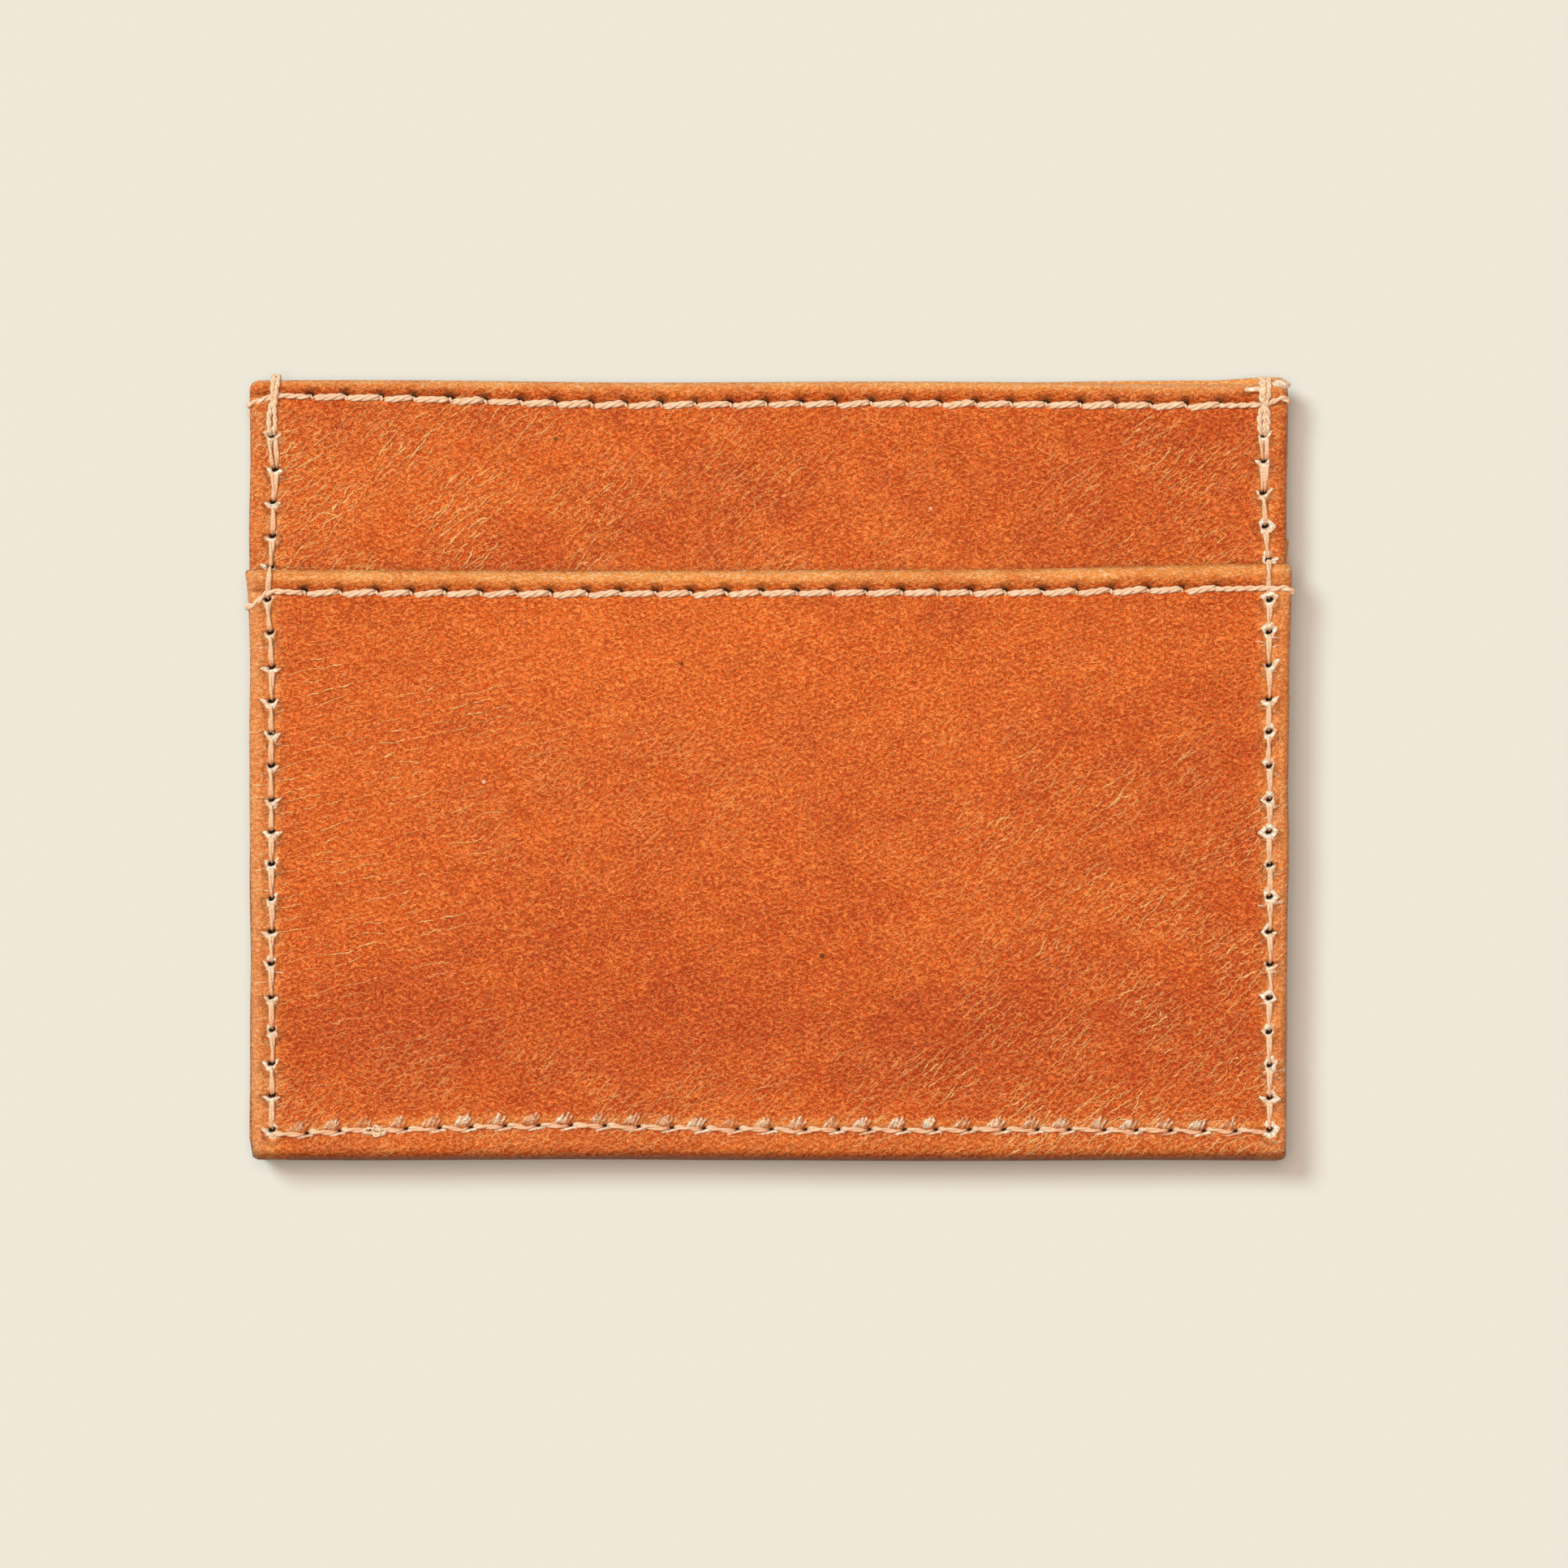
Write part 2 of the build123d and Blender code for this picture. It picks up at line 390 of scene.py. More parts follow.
def pucker(spot, size, random):
    """Torn folds that lean to the right, left of and above a slot, with painted shade on the right of each,
    on a mound painted pale as lit.
    """
    for number, height in enumerate((0.55, 0.8, 0.95, 1.0, 0.7)):
        foot = (-1.65 + 0.33 * number + random.uniform(-0.08, 0.08), 0.18 + 0.02 * number)
        rise = height * random.uniform(0.8, 1.15)
        tip = (foot[0] + random.uniform(0.25, 0.5), foot[1] + rise)
        off, along = spot.from_line(foot, tip)
        spot.lift(0.2 * size * bump(off, 0, 0.13))
        fray = size * random.uniform(0.55, 0.9)
        spot.paint("raw", fray * bump(off, 0, 0.13) * (0.65 + 0.35 * along))
        off, _ = spot.from_line((foot[0] + 0.17, foot[1]), (tip[0] + 0.17, tip[1] - 0.1))
        # Painted shade on the right side of each fold
        spot.paint("dark", 0.45 * size * bump(off, 0, 0.09))
    flap = bump(spot.from_line((-0.75, 1.05), (-0.35, 0.6))[0], 0, 0.13)
    mound = bump(spot.x, -0.85, 0.85) * bump(spot.y, 0.62, 0.55)
    spot.lift(size * (0.14 * flap + 0.1 * mound))
    # The mound is painted paler where light falls on it
    spot.paint("pale", 0.9 * size * mound)
    spot.paint("raw", size * np.maximum(0.6 * flap, 0.5 * mound))


def lip(spot, size, strength):
    """The pale lip under a slot, and the creases that run down from it to the left."""
    off, along = spot.from_line((0.55, -0.08), (-0.9, -0.4))
    spot.paint("raw", strength * bump(off, 0, 0.15) * (1 - 0.4 * along))
    spot.lift(0.16 * bump(off, 0, 0.12))
    creases = (
        ((0.35, -0.3), (-0.2, -0.85)),
        ((0.75, -0.35), (0.3, -0.95)),
        ((-0.9, -0.35), (-1.3, -0.9)),
    )
    for foot, tip in creases:
        off, along = spot.from_line(foot, tip)
        spot.lift(-0.12 * bump(off, 0, 0.12) * (1 - along))
        # Painted shade along each crease
        spot.paint("dark", 0.55 * size * bump(off, 0, 0.1) * (1 - along))
        spot.paint("raw", 0.42 * size * bump(off, 0.17, 0.08) * (1 - along))


def bottom_hole(relief, hole, random, strength):
    """A needle hole of the bottom seam: a dark slot, with a pale pucker above it and a lip below."""
    spot = Spot(relief, hole, 2.4)
    if spot.empty():
        return
    wrinkles(spot, spot.y, spot.x, random, 0.9)
    size = strength * random.uniform(0.85, 1.15)
    pucker(spot, size, random)
    lip(spot, size, strength)
    slanting = (spot.y - 0.05 - 0.2 * spot.x) / 0.13
    spot.dig(0.5, np.exp(-((((spot.x - 0.05) / 0.4) ** 2 + slanting**2) ** 1.6)))


def hem_hole(relief, hole, random):
    """A needle hole of a hem's row: dark and a little above the row, with the hem dented over it and
    painted shade in the dent.
    """
    spot = Spot(relief, hole, 1.8)
    if spot.empty():
        return
    size = random.uniform(0.85, 1.2)
    across, along = (spot.x + 0.02) / (0.5 * size), (spot.y - 0.17) / (0.3 * size)
    pit = np.exp(-((across**2 + along**2) ** 1.3))
    dent = bump(spot.x, 0.1, 0.72) * bump(spot.y, 0.55, 0.36)
    spot.lift(-0.45 * pit - 0.12 * dent)
    spot.paint("pit", 0.9 * pit)
    # Painted shade in the dent over the hole
    spot.paint("dark", random.uniform(0.55, 0.95) * dent)


# Soft light and dark places in the hide: X, Y, half-width, half-height and strength
PATCHES = {
    "front_pocket": [
        (-15, 13, 16, 7, 1.0), (3, 9, 22, 8, 0.45), (34, 12, 14, 7, 0.35), (-38, 2, 12, 9, 0.55),
        (-30, -10, 12, 6, 0.25), (8, -8, 26, 6, 0.15), (24, -16, 16, 5, 0.15), (-38, -25, 11, 5, -0.9),
        (18, -26, 9, 5, -1.0), (-10, -24, 20, 6, -0.55), (36, -27, 12, 6, -0.5), (-18, -14, 9, 5, -0.45),
        (0, -28, 60, 9, -0.4), (40, -20, 16, 18, -0.35), (44, 0, 6, 14, -0.4), (27, 4, 9, 5, -0.25),
        (0, -15, 9, 4, -0.2), (-44, -14, 5, 9, 0.2),
    ],
    "front_panel": [
        (-38, 26, 12, 7, 0.7), (-20, 31, 10, 4, 0.25), (0, 23, 14, 4, -0.15), (14, 30, 10, 4, 0.1),
        (42, 33, 10, 4, -0.9), (34, 24, 14, 5, -0.35), (-28, 20, 10, 2, -0.5),
    ],
}


def mottle(panel, x, y):
    """The large light and dark areas of the hide, from about -1 to 1."""
    clouds = 0.2 * ripple(x * 0.8, y * 1.3, 17, panel.seed + 5)
    clouds = clouds + 0.22 * ripple(x, y * 1.3, 6.5, panel.seed + 6)
    for px, py, width, height, strength in PATCHES.get(panel.node, []):
        clouds = clouds + strength * np.exp(-(((x - px) / width) ** 2) - ((y - py) / height) ** 2)
    return clouds


def crease_places(panel, x, y):
    """How strongly the hide is creased from place to place: by slanting creases, and by level ones."""
    patchy = np.clip(0.55 + 0.55 * ripple(x, y, 9, panel.seed + 8), 0, 1.2)
    if panel.node == "front_panel":
        slanted = 0.12 + smooth(-10, -32, x + 0.5 * (y - 28))
        slanted = slanted + 0.35 * bump(x, -4, 14) + 0.75 * bump(x, 38, 8)
        level = 0.6 * smooth(-30, -46, x) + 0.2 * smooth(24, 19, y)
    elif panel.node == "front_pocket":
        slanted = 0.6 * smooth(6, 28, x) * smooth(10, -8, y) + 0.4 * bump(y, -2, 8) * bump(x, -14, 24)
        slanted = slanted + 0.4 * smooth(-22, -31, y) + 0.12 * smooth(2, 30, x)
        level = 1.0 * smooth(-16, -36, x) * smooth(-34, -16, y) * smooth(17, 8, y)
        level = level + 0.35 * smooth(-25, -31, y)
        level = level + 0.45 * bump(y, 4, 3) * bump(x, -20, 16) + 0.3 * smooth(20, 40, x) * smooth(4, -8, y)
    else:
        slanted = 0.4 * patchy
        level = 0.2 * patchy
    return np.clip(slanted * patchy, 0, 1), np.clip(level * patchy, 0, 1)


def hem_roll(share):
    """The rounded hem in section: 0 at the row, 1 at its crown and lower again at the mouth."""
    return np.sin(math.pi * np.minimum(share, 1) ** 1.6) ** 0.9


def swell(relief):
    """The hide's gentle waves, its swelling inside the seam and the roll of the hem."""
    panel = relief.panel
    relief.out += 0.07 * ripple(relief.x, relief.y, 21, panel.seed + 1)
    relief.out += 0.018 * ripple(relief.x, relief.y, 6, panel.seed + 2)
    inside = smooth(0, 9, relief.from_left) * smooth(0, 9, relief.from_right)
    relief.out += 0.12 * inside * smooth(-1, 8, relief.from_foot)
    relief.out += HEM_RISE * hem_roll(relief.hem)


def pull_in_seams(relief):
    """The valleys that the seams lie in, with a low ridge beside each. They are deep on a pressed panel."""
    groove = 0.42 if relief.panel.pressed else 0.0
    relief.out -= (0.17 + groove) * bump(relief.y, relief.row, 0.4)
    relief.out += 0.06 * bump(relief.y, relief.row - 0.62, 0.3)
    for inward in (relief.from_left, relief.from_right):
        relief.out -= (0.15 + groove) * bump(inward, 0, 0.45) * smooth(-1, 0, relief.from_foot)
        relief.out += 0.08 * bump(inward, -1.1, 0.6)
    between = smooth(-1, 0, relief.from_left) * smooth(-1, 0, relief.from_right)
    relief.out -= (0.14 + groove) * bump(relief.from_foot, 0, 0.4) * between
    relief.out += 0.06 * bump(relief.from_foot, -1.2, 0.7)


def pierce(relief):
    """The needle holes of the edge seam and of the hem, fainter on the back."""
    panel = relief.panel
    random = np.random.default_rng(panel.seed + 100)
    strength = 1.0 if panel.outward == UP else 0.45
    for hole in LEFT_HOLES + RIGHT_HOLES:
        if hole[1] < panel.mouth - 0.2:
            side_hole(relief, hole, random, strength * random.uniform(0.75, 1))
    for hole in BOTTOM_HOLES[1:-1]:
        bottom_hole(relief, hole, random, strength * random.uniform(0.7, 1))
    for hole in panel.row_holes:
        hem_hole(relief, hole, random)


def paint_folds(relief):
    """The golden hem and turned edges, the pinker worn sides and the bare rims."""
    panel, x, y = relief.panel, relief.x, relief.y
    patches = 0.88 + 0.12 * ripple(x, y, 5, panel.seed + 9)
    onset = 0.3 if panel is front_panel else 0.12
    side_bands = np.maximum(smooth(0.2, -1.4, relief.from_left), smooth(0.2, -1.4, relief.from_right))
    foot_band = smooth(0.2, -0.9, relief.from_foot) * smooth(-2.9, -1.7, relief.from_foot)
    over_foot = smooth(1.5, 0.7, relief.from_foot) * smooth(-0.3, 0.2, relief.from_foot)
    at_sides = bump(np.minimum(relief.from_left, relief.from_right), -0.1, 0.95)
    golds = (
        smooth(onset, onset + 0.62, relief.hem),
        panel.band_pale * side_bands,
        0.55 * over_foot,
        (0.35 + 0.6 * panel.band_pale) * at_sides,
        0.2 * foot_band,
    )
    relief.add_paint("pale", np.maximum.reduce(golds) * patches)

    rim = np.minimum(panel.side_x(y, 1) - x, x - panel.side_x(y, -1))
    worn = max(panel.band_pale * 1.5 - 0.35, 0.1) * np.where(x < 0, 1.0, 0.45)
    if panel is front_panel:
        worn = 0.5 * worn
    relief.paint["edge"] = smooth(2.6, 0.3, rim) * patches * worn
    relief.add_paint("raw", 0.34 * smooth(0.4, 0.05, rim))
    relief.add_paint("raw", 0.24 * smooth(0.2, 0.02, relief.mouth - y))


def paint_shade(relief):
    """Painted shade in the valley above a hem's stitches, on the foot's rolled edge and above the pocket's
    mouth.
    """
    panel, x, y = relief.panel, relief.x, relief.y
    valley = bump(y, relief.row + 0.24, 0.25) * (0.5 + 0.3 * ripple(x, y, 1.7, panel.seed + 12))
    foot = smooth(1.25, 0.3, y - panel.foot_y(x))
    # Painted shade in the valley above the row, and on the foot where the edge rolls over
    relief.add_paint("dark", np.clip(np.maximum(0.7 * valley, 0.85 * foot), 0, 1))
    if panel is front_panel:
        # Painted shade on the front panel just above the pocket's mouth
        relief.add_paint("dark", 0.3 * smooth(0.75, 0.0, y - front_pocket.mouth_y(x)))


def raw_sliver(relief):
    """A raw sliver with painted shade in the gap under it, on the front hem left of the right bundle of
    stitches.
    """
    mouth = relief.panel.mouth
    off, along = segment_distance(relief.x, relief.y, (46.2, mouth - 0.98), (48.0, mouth - 0.75))
    relief.add_paint("raw", bump(off, 0, 0.1 + 0.16 * along))
    # Painted shadow in the gap under the sliver
    off, _ = segment_distance(relief.x, relief.y, (46.3, mouth - 1.2), (48.0, mouth - 1.15))
    relief.add_paint("dark", bump(off, 0, 0.13))


def outer_relief(panel, x, y):
    """The whole relief of a panel's outer face, seams and all, over points in the X and Y plane."""
    relief = Relief(panel, x, y)
    swell(relief)
    pull_in_seams(relief)
    pierce(relief)
    if panel.pressed:
        relief.out = np.minimum(relief.out - 0.05, -0.01)
    paint_folds(relief)
    paint_shade(relief)
    if panel is front_panel:
        raw_sliver(relief)
    relief.paint["tone"] = mottle(panel, x, y)
    relief.paint["slanted"], relief.paint["level"] = crease_places(panel, x, y)
    return relief


# ---------------------------------------------------------------- leather meshes


def grid_lines(low, high, step):
    return np.linspace(low, high, max(int(round((high - low) / step)), 2) + 1)


def in_seam_zone(panel, x, y):
    """Where the mesh has to be fine: along the seams, over the part of the panel that shows."""
    shown = y > panel.shown_from - 0.5
    sides = (np.abs(x - side_seam_x(y, -1)) < 1.25) | (np.abs(x - side_seam_x(y, 1)) < 1.25)
    foot = (np.abs(y - bottom_seam_y(x) - 0.15) < 1.35) & (panel.shown_from < panel.foot)
    row = (y > panel.row_y(x) - 0.8) & (y < panel.row_y(x) + 0.9)
    return ((sides & (y < panel.mouth + 1)) | foot | row) & shown


def flat_grid(panel):
    """The panel laid out flat, with u and v in millimetres, finer along its seams."""
    half = (panel.sides[0][1] + panel.sides[1][1]) / 2
    across = grid_lines(-half, half, COARSE)
    if panel.shown_from > panel.foot:
        hidden = grid_lines(0, panel.shown_from - panel.foot - 1, HIDDEN)
        shown = grid_lines(panel.shown_from - panel.foot - 1, panel.height, COARSE)
        up = np.concatenate([hidden[:-1], shown])
    else:
        up = grid_lines(0, panel.height, COARSE)
    columns, rows = len(across), len(up)
    u, v = np.meshgrid(across, up)
    points = np.stack([u.ravel(), v.ravel(), np.zeros(u.size)], 1)
    index = np.arange(columns * rows).reshape(rows, columns)
    quads = np.stack([index[:-1, :-1], index[:-1, 1:], index[1:, 1:], index[1:, :-1]], -1).reshape(-1, 4)
    mesh = bpy.data.meshes.new(panel.node + "_flat")
    mesh.from_pydata(points.tolist(), [], quads.tolist())
    flat = bmesh.new()
    flat.from_mesh(mesh)
    bpy.data.meshes.remove(mesh)

    flat.faces.ensure_lookup_table()
    centres = points[quads].mean(1)
    x, y = panel.place(centres[:, 0] / half, centres[:, 1] / panel.height)
    fine = np.nonzero(in_seam_zone(panel, x, y))[0]
    edges = {edge for i in fine for edge in flat.faces[i].edges}
    bmesh.ops.subdivide_edges(
        flat, edges=list(edges), cuts=FINE_CUTS, use_grid_fill=True, use_single_edge=True
    )
    return flat, half


def boundary_loop(flat):
    """The indices of the vertices round the rim of a flat grid, in order."""
    flat.verts.ensure_lookup_table()
    flat.verts.index_update()
    rim = {}
    for edge in flat.edges:
        if edge.is_boundary:
            a, b = edge.verts
            rim.setdefault(a.index, []).append(b.index)
            rim.setdefault(b.index, []).append(a.index)
    start = min(rim)
    loop, last, here = [start], None, start
    while True:
        step = [n for n in rim[here] if n != last][0]
        if step == start:
            return loop
        loop.append(step)
        last, here = here, step


def outer_face(panel, across, up, down, thick, relief):
    """Z of the outer face, which rolls over at the panel's edges, and furthest at its foot."""
    sides = quarter(across, SIDE_FOLD) * quarter(down, MOUTH_FOLD)
    foot = quarter(up, BOTTOM_FOLD)
    depth = np.maximum((1 - sides) * thick / 2, (1 - foot) * thick * FOOT_SHARE)
    return panel.face + panel.outward * (relief * sides * foot - depth)


def inner_face(panel, across, up, down, thick):
    """Z of the inner face, which meets the outer one at the panel's rim."""
    sides = quarter(across, SIDE_FOLD) * quarter(down, MOUTH_FOLD)
    foot = quarter(up, BOTTOM_FOLD)
    depth = np.minimum((1 + sides) * thick / 2, thick * (FOOT_SHARE + (1 - FOOT_SHARE) * foot))
    return panel.face - panel.outward * depth


def leather_mesh(panel, corner):
    """The closed mesh of a panel: its outer face in relief, its folded edges and its inner face."""
    flat, half = flat_grid(panel)
    loop = boundary_loop(flat)
    coords = np.array([vertex.co[:2] for vertex in flat.verts])
    faces = [[vertex.index for vertex in face.verts] for face in flat.faces]
    flat.free()

    u, v = rounded(coords[:, 0], coords[:, 1], half, panel.height, corner)
    x, y = panel.place(u / half, v / panel.height)
    across, up, down = half - np.abs(coords[:, 0]), coords[:, 1], panel.height - coords[:, 1]
    relief = outer_relief(panel, x, y)
    thick = panel.thickness(across, up, down)
    z = outer_face(panel, across, up, down, thick, relief.out)
    points = [np.stack([x, y, z], 1)]
    paints = {name: [values] for name, values in relief.paint.items()}

    rim_u, rim_v = coords[loop, 0], coords[loop, 1]
    rim_u, rim_v = rounded(rim_u, rim_v, half, panel.height, corner)
    insets = [0.04, 0.15, 0.34, 0.62, 1.0, 2.0, BOTTOM_BAND - 0.25, BOTTOM_BAND + 0.25]
    insets += [SIDE_BAND - 0.25, SIDE_BAND + 0.25, HEM_DEPTH - 0.35, HEM_DEPTH + 0.35]
    previous = list(loop)
    count = len(coords)
    middle = panel.height / 2
    for inset in insets:
        ring_u = rim_u * (1 - inset / half)
        ring_v = middle + (rim_v - middle) * (1 - inset / middle)
        x, y = panel.place(ring_u / half, ring_v / panel.height)
        across, up, down = half - np.abs(ring_u), ring_v, panel.height - ring_v
        thick = panel.thickness(across, up, down)
        z = inner_face(panel, across, up, down, thick)
        points.append(np.stack([x, y, z], 1))
        for name in paints:
            paints[name].append(np.full(len(loop), INSIDE_PALE if name == "pale" else 0.0))
        ring = list(range(count, count + len(loop)))
        count += len(loop)
        for i in range(len(loop)):
            j = (i + 1) % len(loop)
            faces.append([previous[j], previous[i], ring[i], ring[j]])
        previous = ring
    faces.append(previous[::-1])
    return np.concatenate(points), faces, {name: np.concatenate(v) for name, v in paints.items()}


def make_object(name, points, faces, paints, material, nodes):
    """A finished piece from points in millimetres, standing for its CAD nodes.

    It gives no diffuse light to what is around it, so that the cream floor stays clean beside the leather.
    """
    mesh = bpy.data.meshes.new(name)
    mesh.from_pydata((np.asarray(points) * MM).tolist(), [], [list(map(int, face)) for face in faces])
    for paint, values in paints.items():
        layer = mesh.attributes.new(paint, "FLOAT", "POINT")
        layer.data.foreach_set("value", np.asarray(values, dtype=np.float32))
    mesh.update()
    tidy = bmesh.new()
    tidy.from_mesh(mesh)
    bmesh.ops.recalc_face_normals(tidy, faces=tidy.faces)
    tidy.to_mesh(mesh)
    tidy.free()
    mesh.polygons.foreach_set("use_smooth", np.ones(len(mesh.polygons), dtype=bool))
    mesh.materials.append(material)
    piece = bpy.data.objects.new(name, mesh)
    bpy.context.scene.collection.objects.link(piece)
    piece.visible_diffuse = False
    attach(piece, "root")
    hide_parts(*nodes)
    return piece


# ---------------------------------------------------------------- threads


class Thread:
    """The mesh of a thread, gathered stitch by stitch."""

    def __init__(self):
        self.points = []
        self.faces = []
        self.highlight_to_blush = []
        self.count = 0

    def tube(self, path, radii, highlight_to_blush, sides=8):
        """A closed tube along a path, with a radius and a paint value for the thread's colour at each of
        its points.
        """
        path = np.asarray(path)
        tangent = np.gradient(path, axis=0)
        tangent /= np.linalg.norm(tangent, axis=1)[:, None]
        normal = np.cross(tangent[0], (0, 0, 1))
        if np.linalg.norm(normal) < 0.1:
            normal = np.cross(tangent[0], (0, 1, 0))
        turn = np.arange(sides) * math.tau / sides
        rings = []
        for centre, along, radius in zip(path, tangent, radii):
            normal = normal - along * np.dot(normal, along)
            normal /= np.linalg.norm(normal)
            binormal = np.cross(along, normal)
            around = np.outer(np.cos(turn), normal) + np.outer(np.sin(turn), binormal)
            rings.append(centre + radius * around)
        start_cap = path[:1] - tangent[:1] * radii[0] * 0.5
        end_cap = path[-1:] + tangent[-1:] * radii[-1] * 0.5
        points = np.concatenate([*rings, start_cap, end_cap])
        base = self.count
        for i in range(len(path) - 1):
            for j in range(sides):
                k = (j + 1) % sides
                a, b = base + i * sides, base + (i + 1) * sides
                self.faces.append([a + j, a + k, b + k, b + j])
        first, last = base + len(path) * sides, base + len(path) * sides + 1
        end = base + (len(path) - 1) * sides
        for j in range(sides):
            k = (j + 1) % sides
            self.faces.append([base + k, base + j, first])
            self.faces.append([end + j, end + k, last])
        self.points.append(points)
        self.highlight_to_blush.append(np.concatenate([np.repeat(highlight_to_blush, sides), [highlight_to_blush[0], highlight_to_blush[-1]]]))
        self.count += len(points)

    def ply(self, knots, radius, seed, pitch=2.1, plies=2, start_highlight_to_blush=0.0, end_highlight_to_blush=0.0, flat=1.0):
        """Twisted plies along a smooth curve through some knots. radius is one number or one per knot."""
        path, spread = curve_through(knots, np.broadcast_to(radius, len(knots)))
        random = np.random.default_rng(seed)
        steps = np.linalg.norm(np.diff(path, axis=0), axis=1)
        length = np.concatenate([[0], np.cumsum(steps)])
        tangent = np.gradient(path, axis=0)
        tangent /= np.linalg.norm(tangent, axis=1)[:, None]
        side = np.cross(tangent, (0, 0, 1))
        size = np.linalg.norm(side, axis=1)
        side[size < 0.2] = (1, 0, 0)
        side /= np.linalg.norm(side, axis=1)[:, None]
        above = np.cross(side, tangent)
        phase = random.uniform(0, math.tau)
        highlight_to_blush = start_highlight_to_blush + (end_highlight_to_blush - start_highlight_to_blush) * length / length[-1]
        for number in range(plies):
            turn = math.tau * length / pitch + phase + number * math.tau / plies
            swell = 1 + 0.06 * np.sin(length * 5.1 + random.uniform(0, math.tau))
            away = (0.42 if plies == 2 else 0.46) * spread[:, None]
            offset = np.cos(turn)[:, None] * side + flat * np.sin(turn)[:, None] * above
            thickness = 0.62 if plies == 2 else 0.54
            self.tube(path + away * offset, thickness * spread * swell, highlight_to_blush)

    def make(self, name, material, slot, nodes):
        paints = {"highlight_to_blush": np.concatenate(self.highlight_to_blush)}
        return make_object(name, np.concatenate(self.points), self.faces, paints, material, nodes)


def curve_through(knots, radii, step=0.13):
    """Points along a smooth curve through the knots, and the radius at each."""
    knots = np.asarray(knots, float)
    padded = np.concatenate([2 * knots[:1] - knots[1:2], knots, 2 * knots[-1:] - knots[-2:-1]])
    path, spread = [], []
    for i in range(len(knots) - 1):
        a, b, c, d = padded[i : i + 4]
        pieces = max(int(np.linalg.norm(c - b) / step), 2)
        for t in np.arange(pieces) / pieces:
            squared = (2 * a - 5 * b + 4 * c - d) * t**2
            cubed = (3 * b - a - 3 * c + d) * t**3
            path.append(0.5 * (2 * b + (c - a) * t + squared + cubed))
            spread.append(radii[i] + (radii[i + 1] - radii[i]) * t)
    path.append(knots[-1])
    spread.append(radii[-1])
    return np.array(path), np.array(spread)


def surface(panel, x, y):
    """Height in Z of a panel's outer face, with its seams' valleys but not its holes."""
    x, y = np.asarray([x], float), np.asarray([y], float)
    row, mouth = panel.row_y(x), panel.mouth_y(x)
    hem = np.clip((y - row) / np.maximum(mouth - row, 0.1), 0, 1)
    out = 0.07 * ripple(x, y, 21, panel.seed + 1) + HEM_RISE * hem_roll(hem)
    out -= 0.1
    if panel.pressed:
        out = np.full_like(out, -0.42)
    return float((panel.face + panel.outward * out)[0])


def lifted(panel, x, y, lift):
    """A point at some height above a panel's outer face."""
    return (x, y, surface(panel, x, y) + panel.outward * lift)


def hem_stitches(panel, seed):
    """The outer thread of a hem: blunt stitches that lean a little, each ending in a hole at its right."""
    thread = Thread()
    random = np.random.default_rng(seed)
    crown = 0.02 if panel.pressed else 0.2
    for i, (start, end) in enumerate(zip(panel.row_holes, panel.row_holes[1:])):
        lean = random.uniform(0.05, 0.17)
        left = start[0] + 0.52 + random.uniform(-0.08, 0.12)
        right = end[0] - 0.16 + random.uniform(-0.08, 0.06)
        low, high = start[1] - lean - 0.02, end[1] + lean * 0.7
        size = THREAD_RADIUS * random.uniform(0.92, 1.06)
        knots = [
            lifted(panel, left - 0.2, low + 0.06, -0.32),
            lifted(panel, left, low, 0.0),
            lifted(panel, left + 0.35, low, crown),
            lifted(panel, (left + right) / 2, (low + high) / 2, crown + 0.04),
            lifted(panel, right - 0.4, high, crown),
            lifted(panel, right - 0.04, high + 0.01, 0.02),
            lifted(panel, right + 0.12, high + 0.04, -0.38),
        ]
        radii = size * np.array([0.5, 0.82, 1.0, 1.02, 1.0, 0.85, 0.5])
        thread.ply(knots, radii, seed + i, pitch=3.1, plies=3, flat=0.8)
    hem_ends(thread, panel, seed)
    return thread


# How far a hem's thread falls as it runs out at the left edge, and at the right one
HEM_END_FALLS = {"front_pocket": (1.1, -0.1), "front_panel": (0.5, -0.75)}


def hem_ends(thread, panel, seed):
    """Where a hem's thread runs out past the edge seam and round the panel's side folds."""
    crown = 0.02 if panel.pressed else 0.16
    middle = panel.face - panel.outward * panel.thick / 2
    behind = panel.face - panel.outward * (panel.thick - 0.1)
    for side, hole in ((-1, panel.row_holes[0]), (1, panel.row_holes[-1])):
        edge = float(panel.side_x(np.array(panel.mouth - 3), side))
        fall = HEM_END_FALLS.get(panel.node, (0.5, -0.15))[side > 0]
        seam = float(side_seam_x(hole[1], side))
        knots = [
            lifted(panel, hole[0] + 0.15 * side, hole[1], -0.3),
            lifted(panel, hole[0] + 0.5 * side, hole[1], crown),
            lifted(panel, seam - 0.4 * side, hole[1] + 0.1, crown),
            lifted(panel, seam + 0.5 * side, hole[1] - fall * 0.3, crown - 0.02),
            lifted(panel, edge - 0.7 * side, hole[1] - fall, 0.05),
            (edge + 0.08 * side, hole[1] - fall - 0.3, middle + panel.outward * 0.25),
            (edge - 0.25 * side, hole[1] - fall - 0.5, behind),
        ]
        thread.ply(knots, THREAD_RADIUS * 0.82, seed + 70 + side, pitch=2.2, flat=0.8)


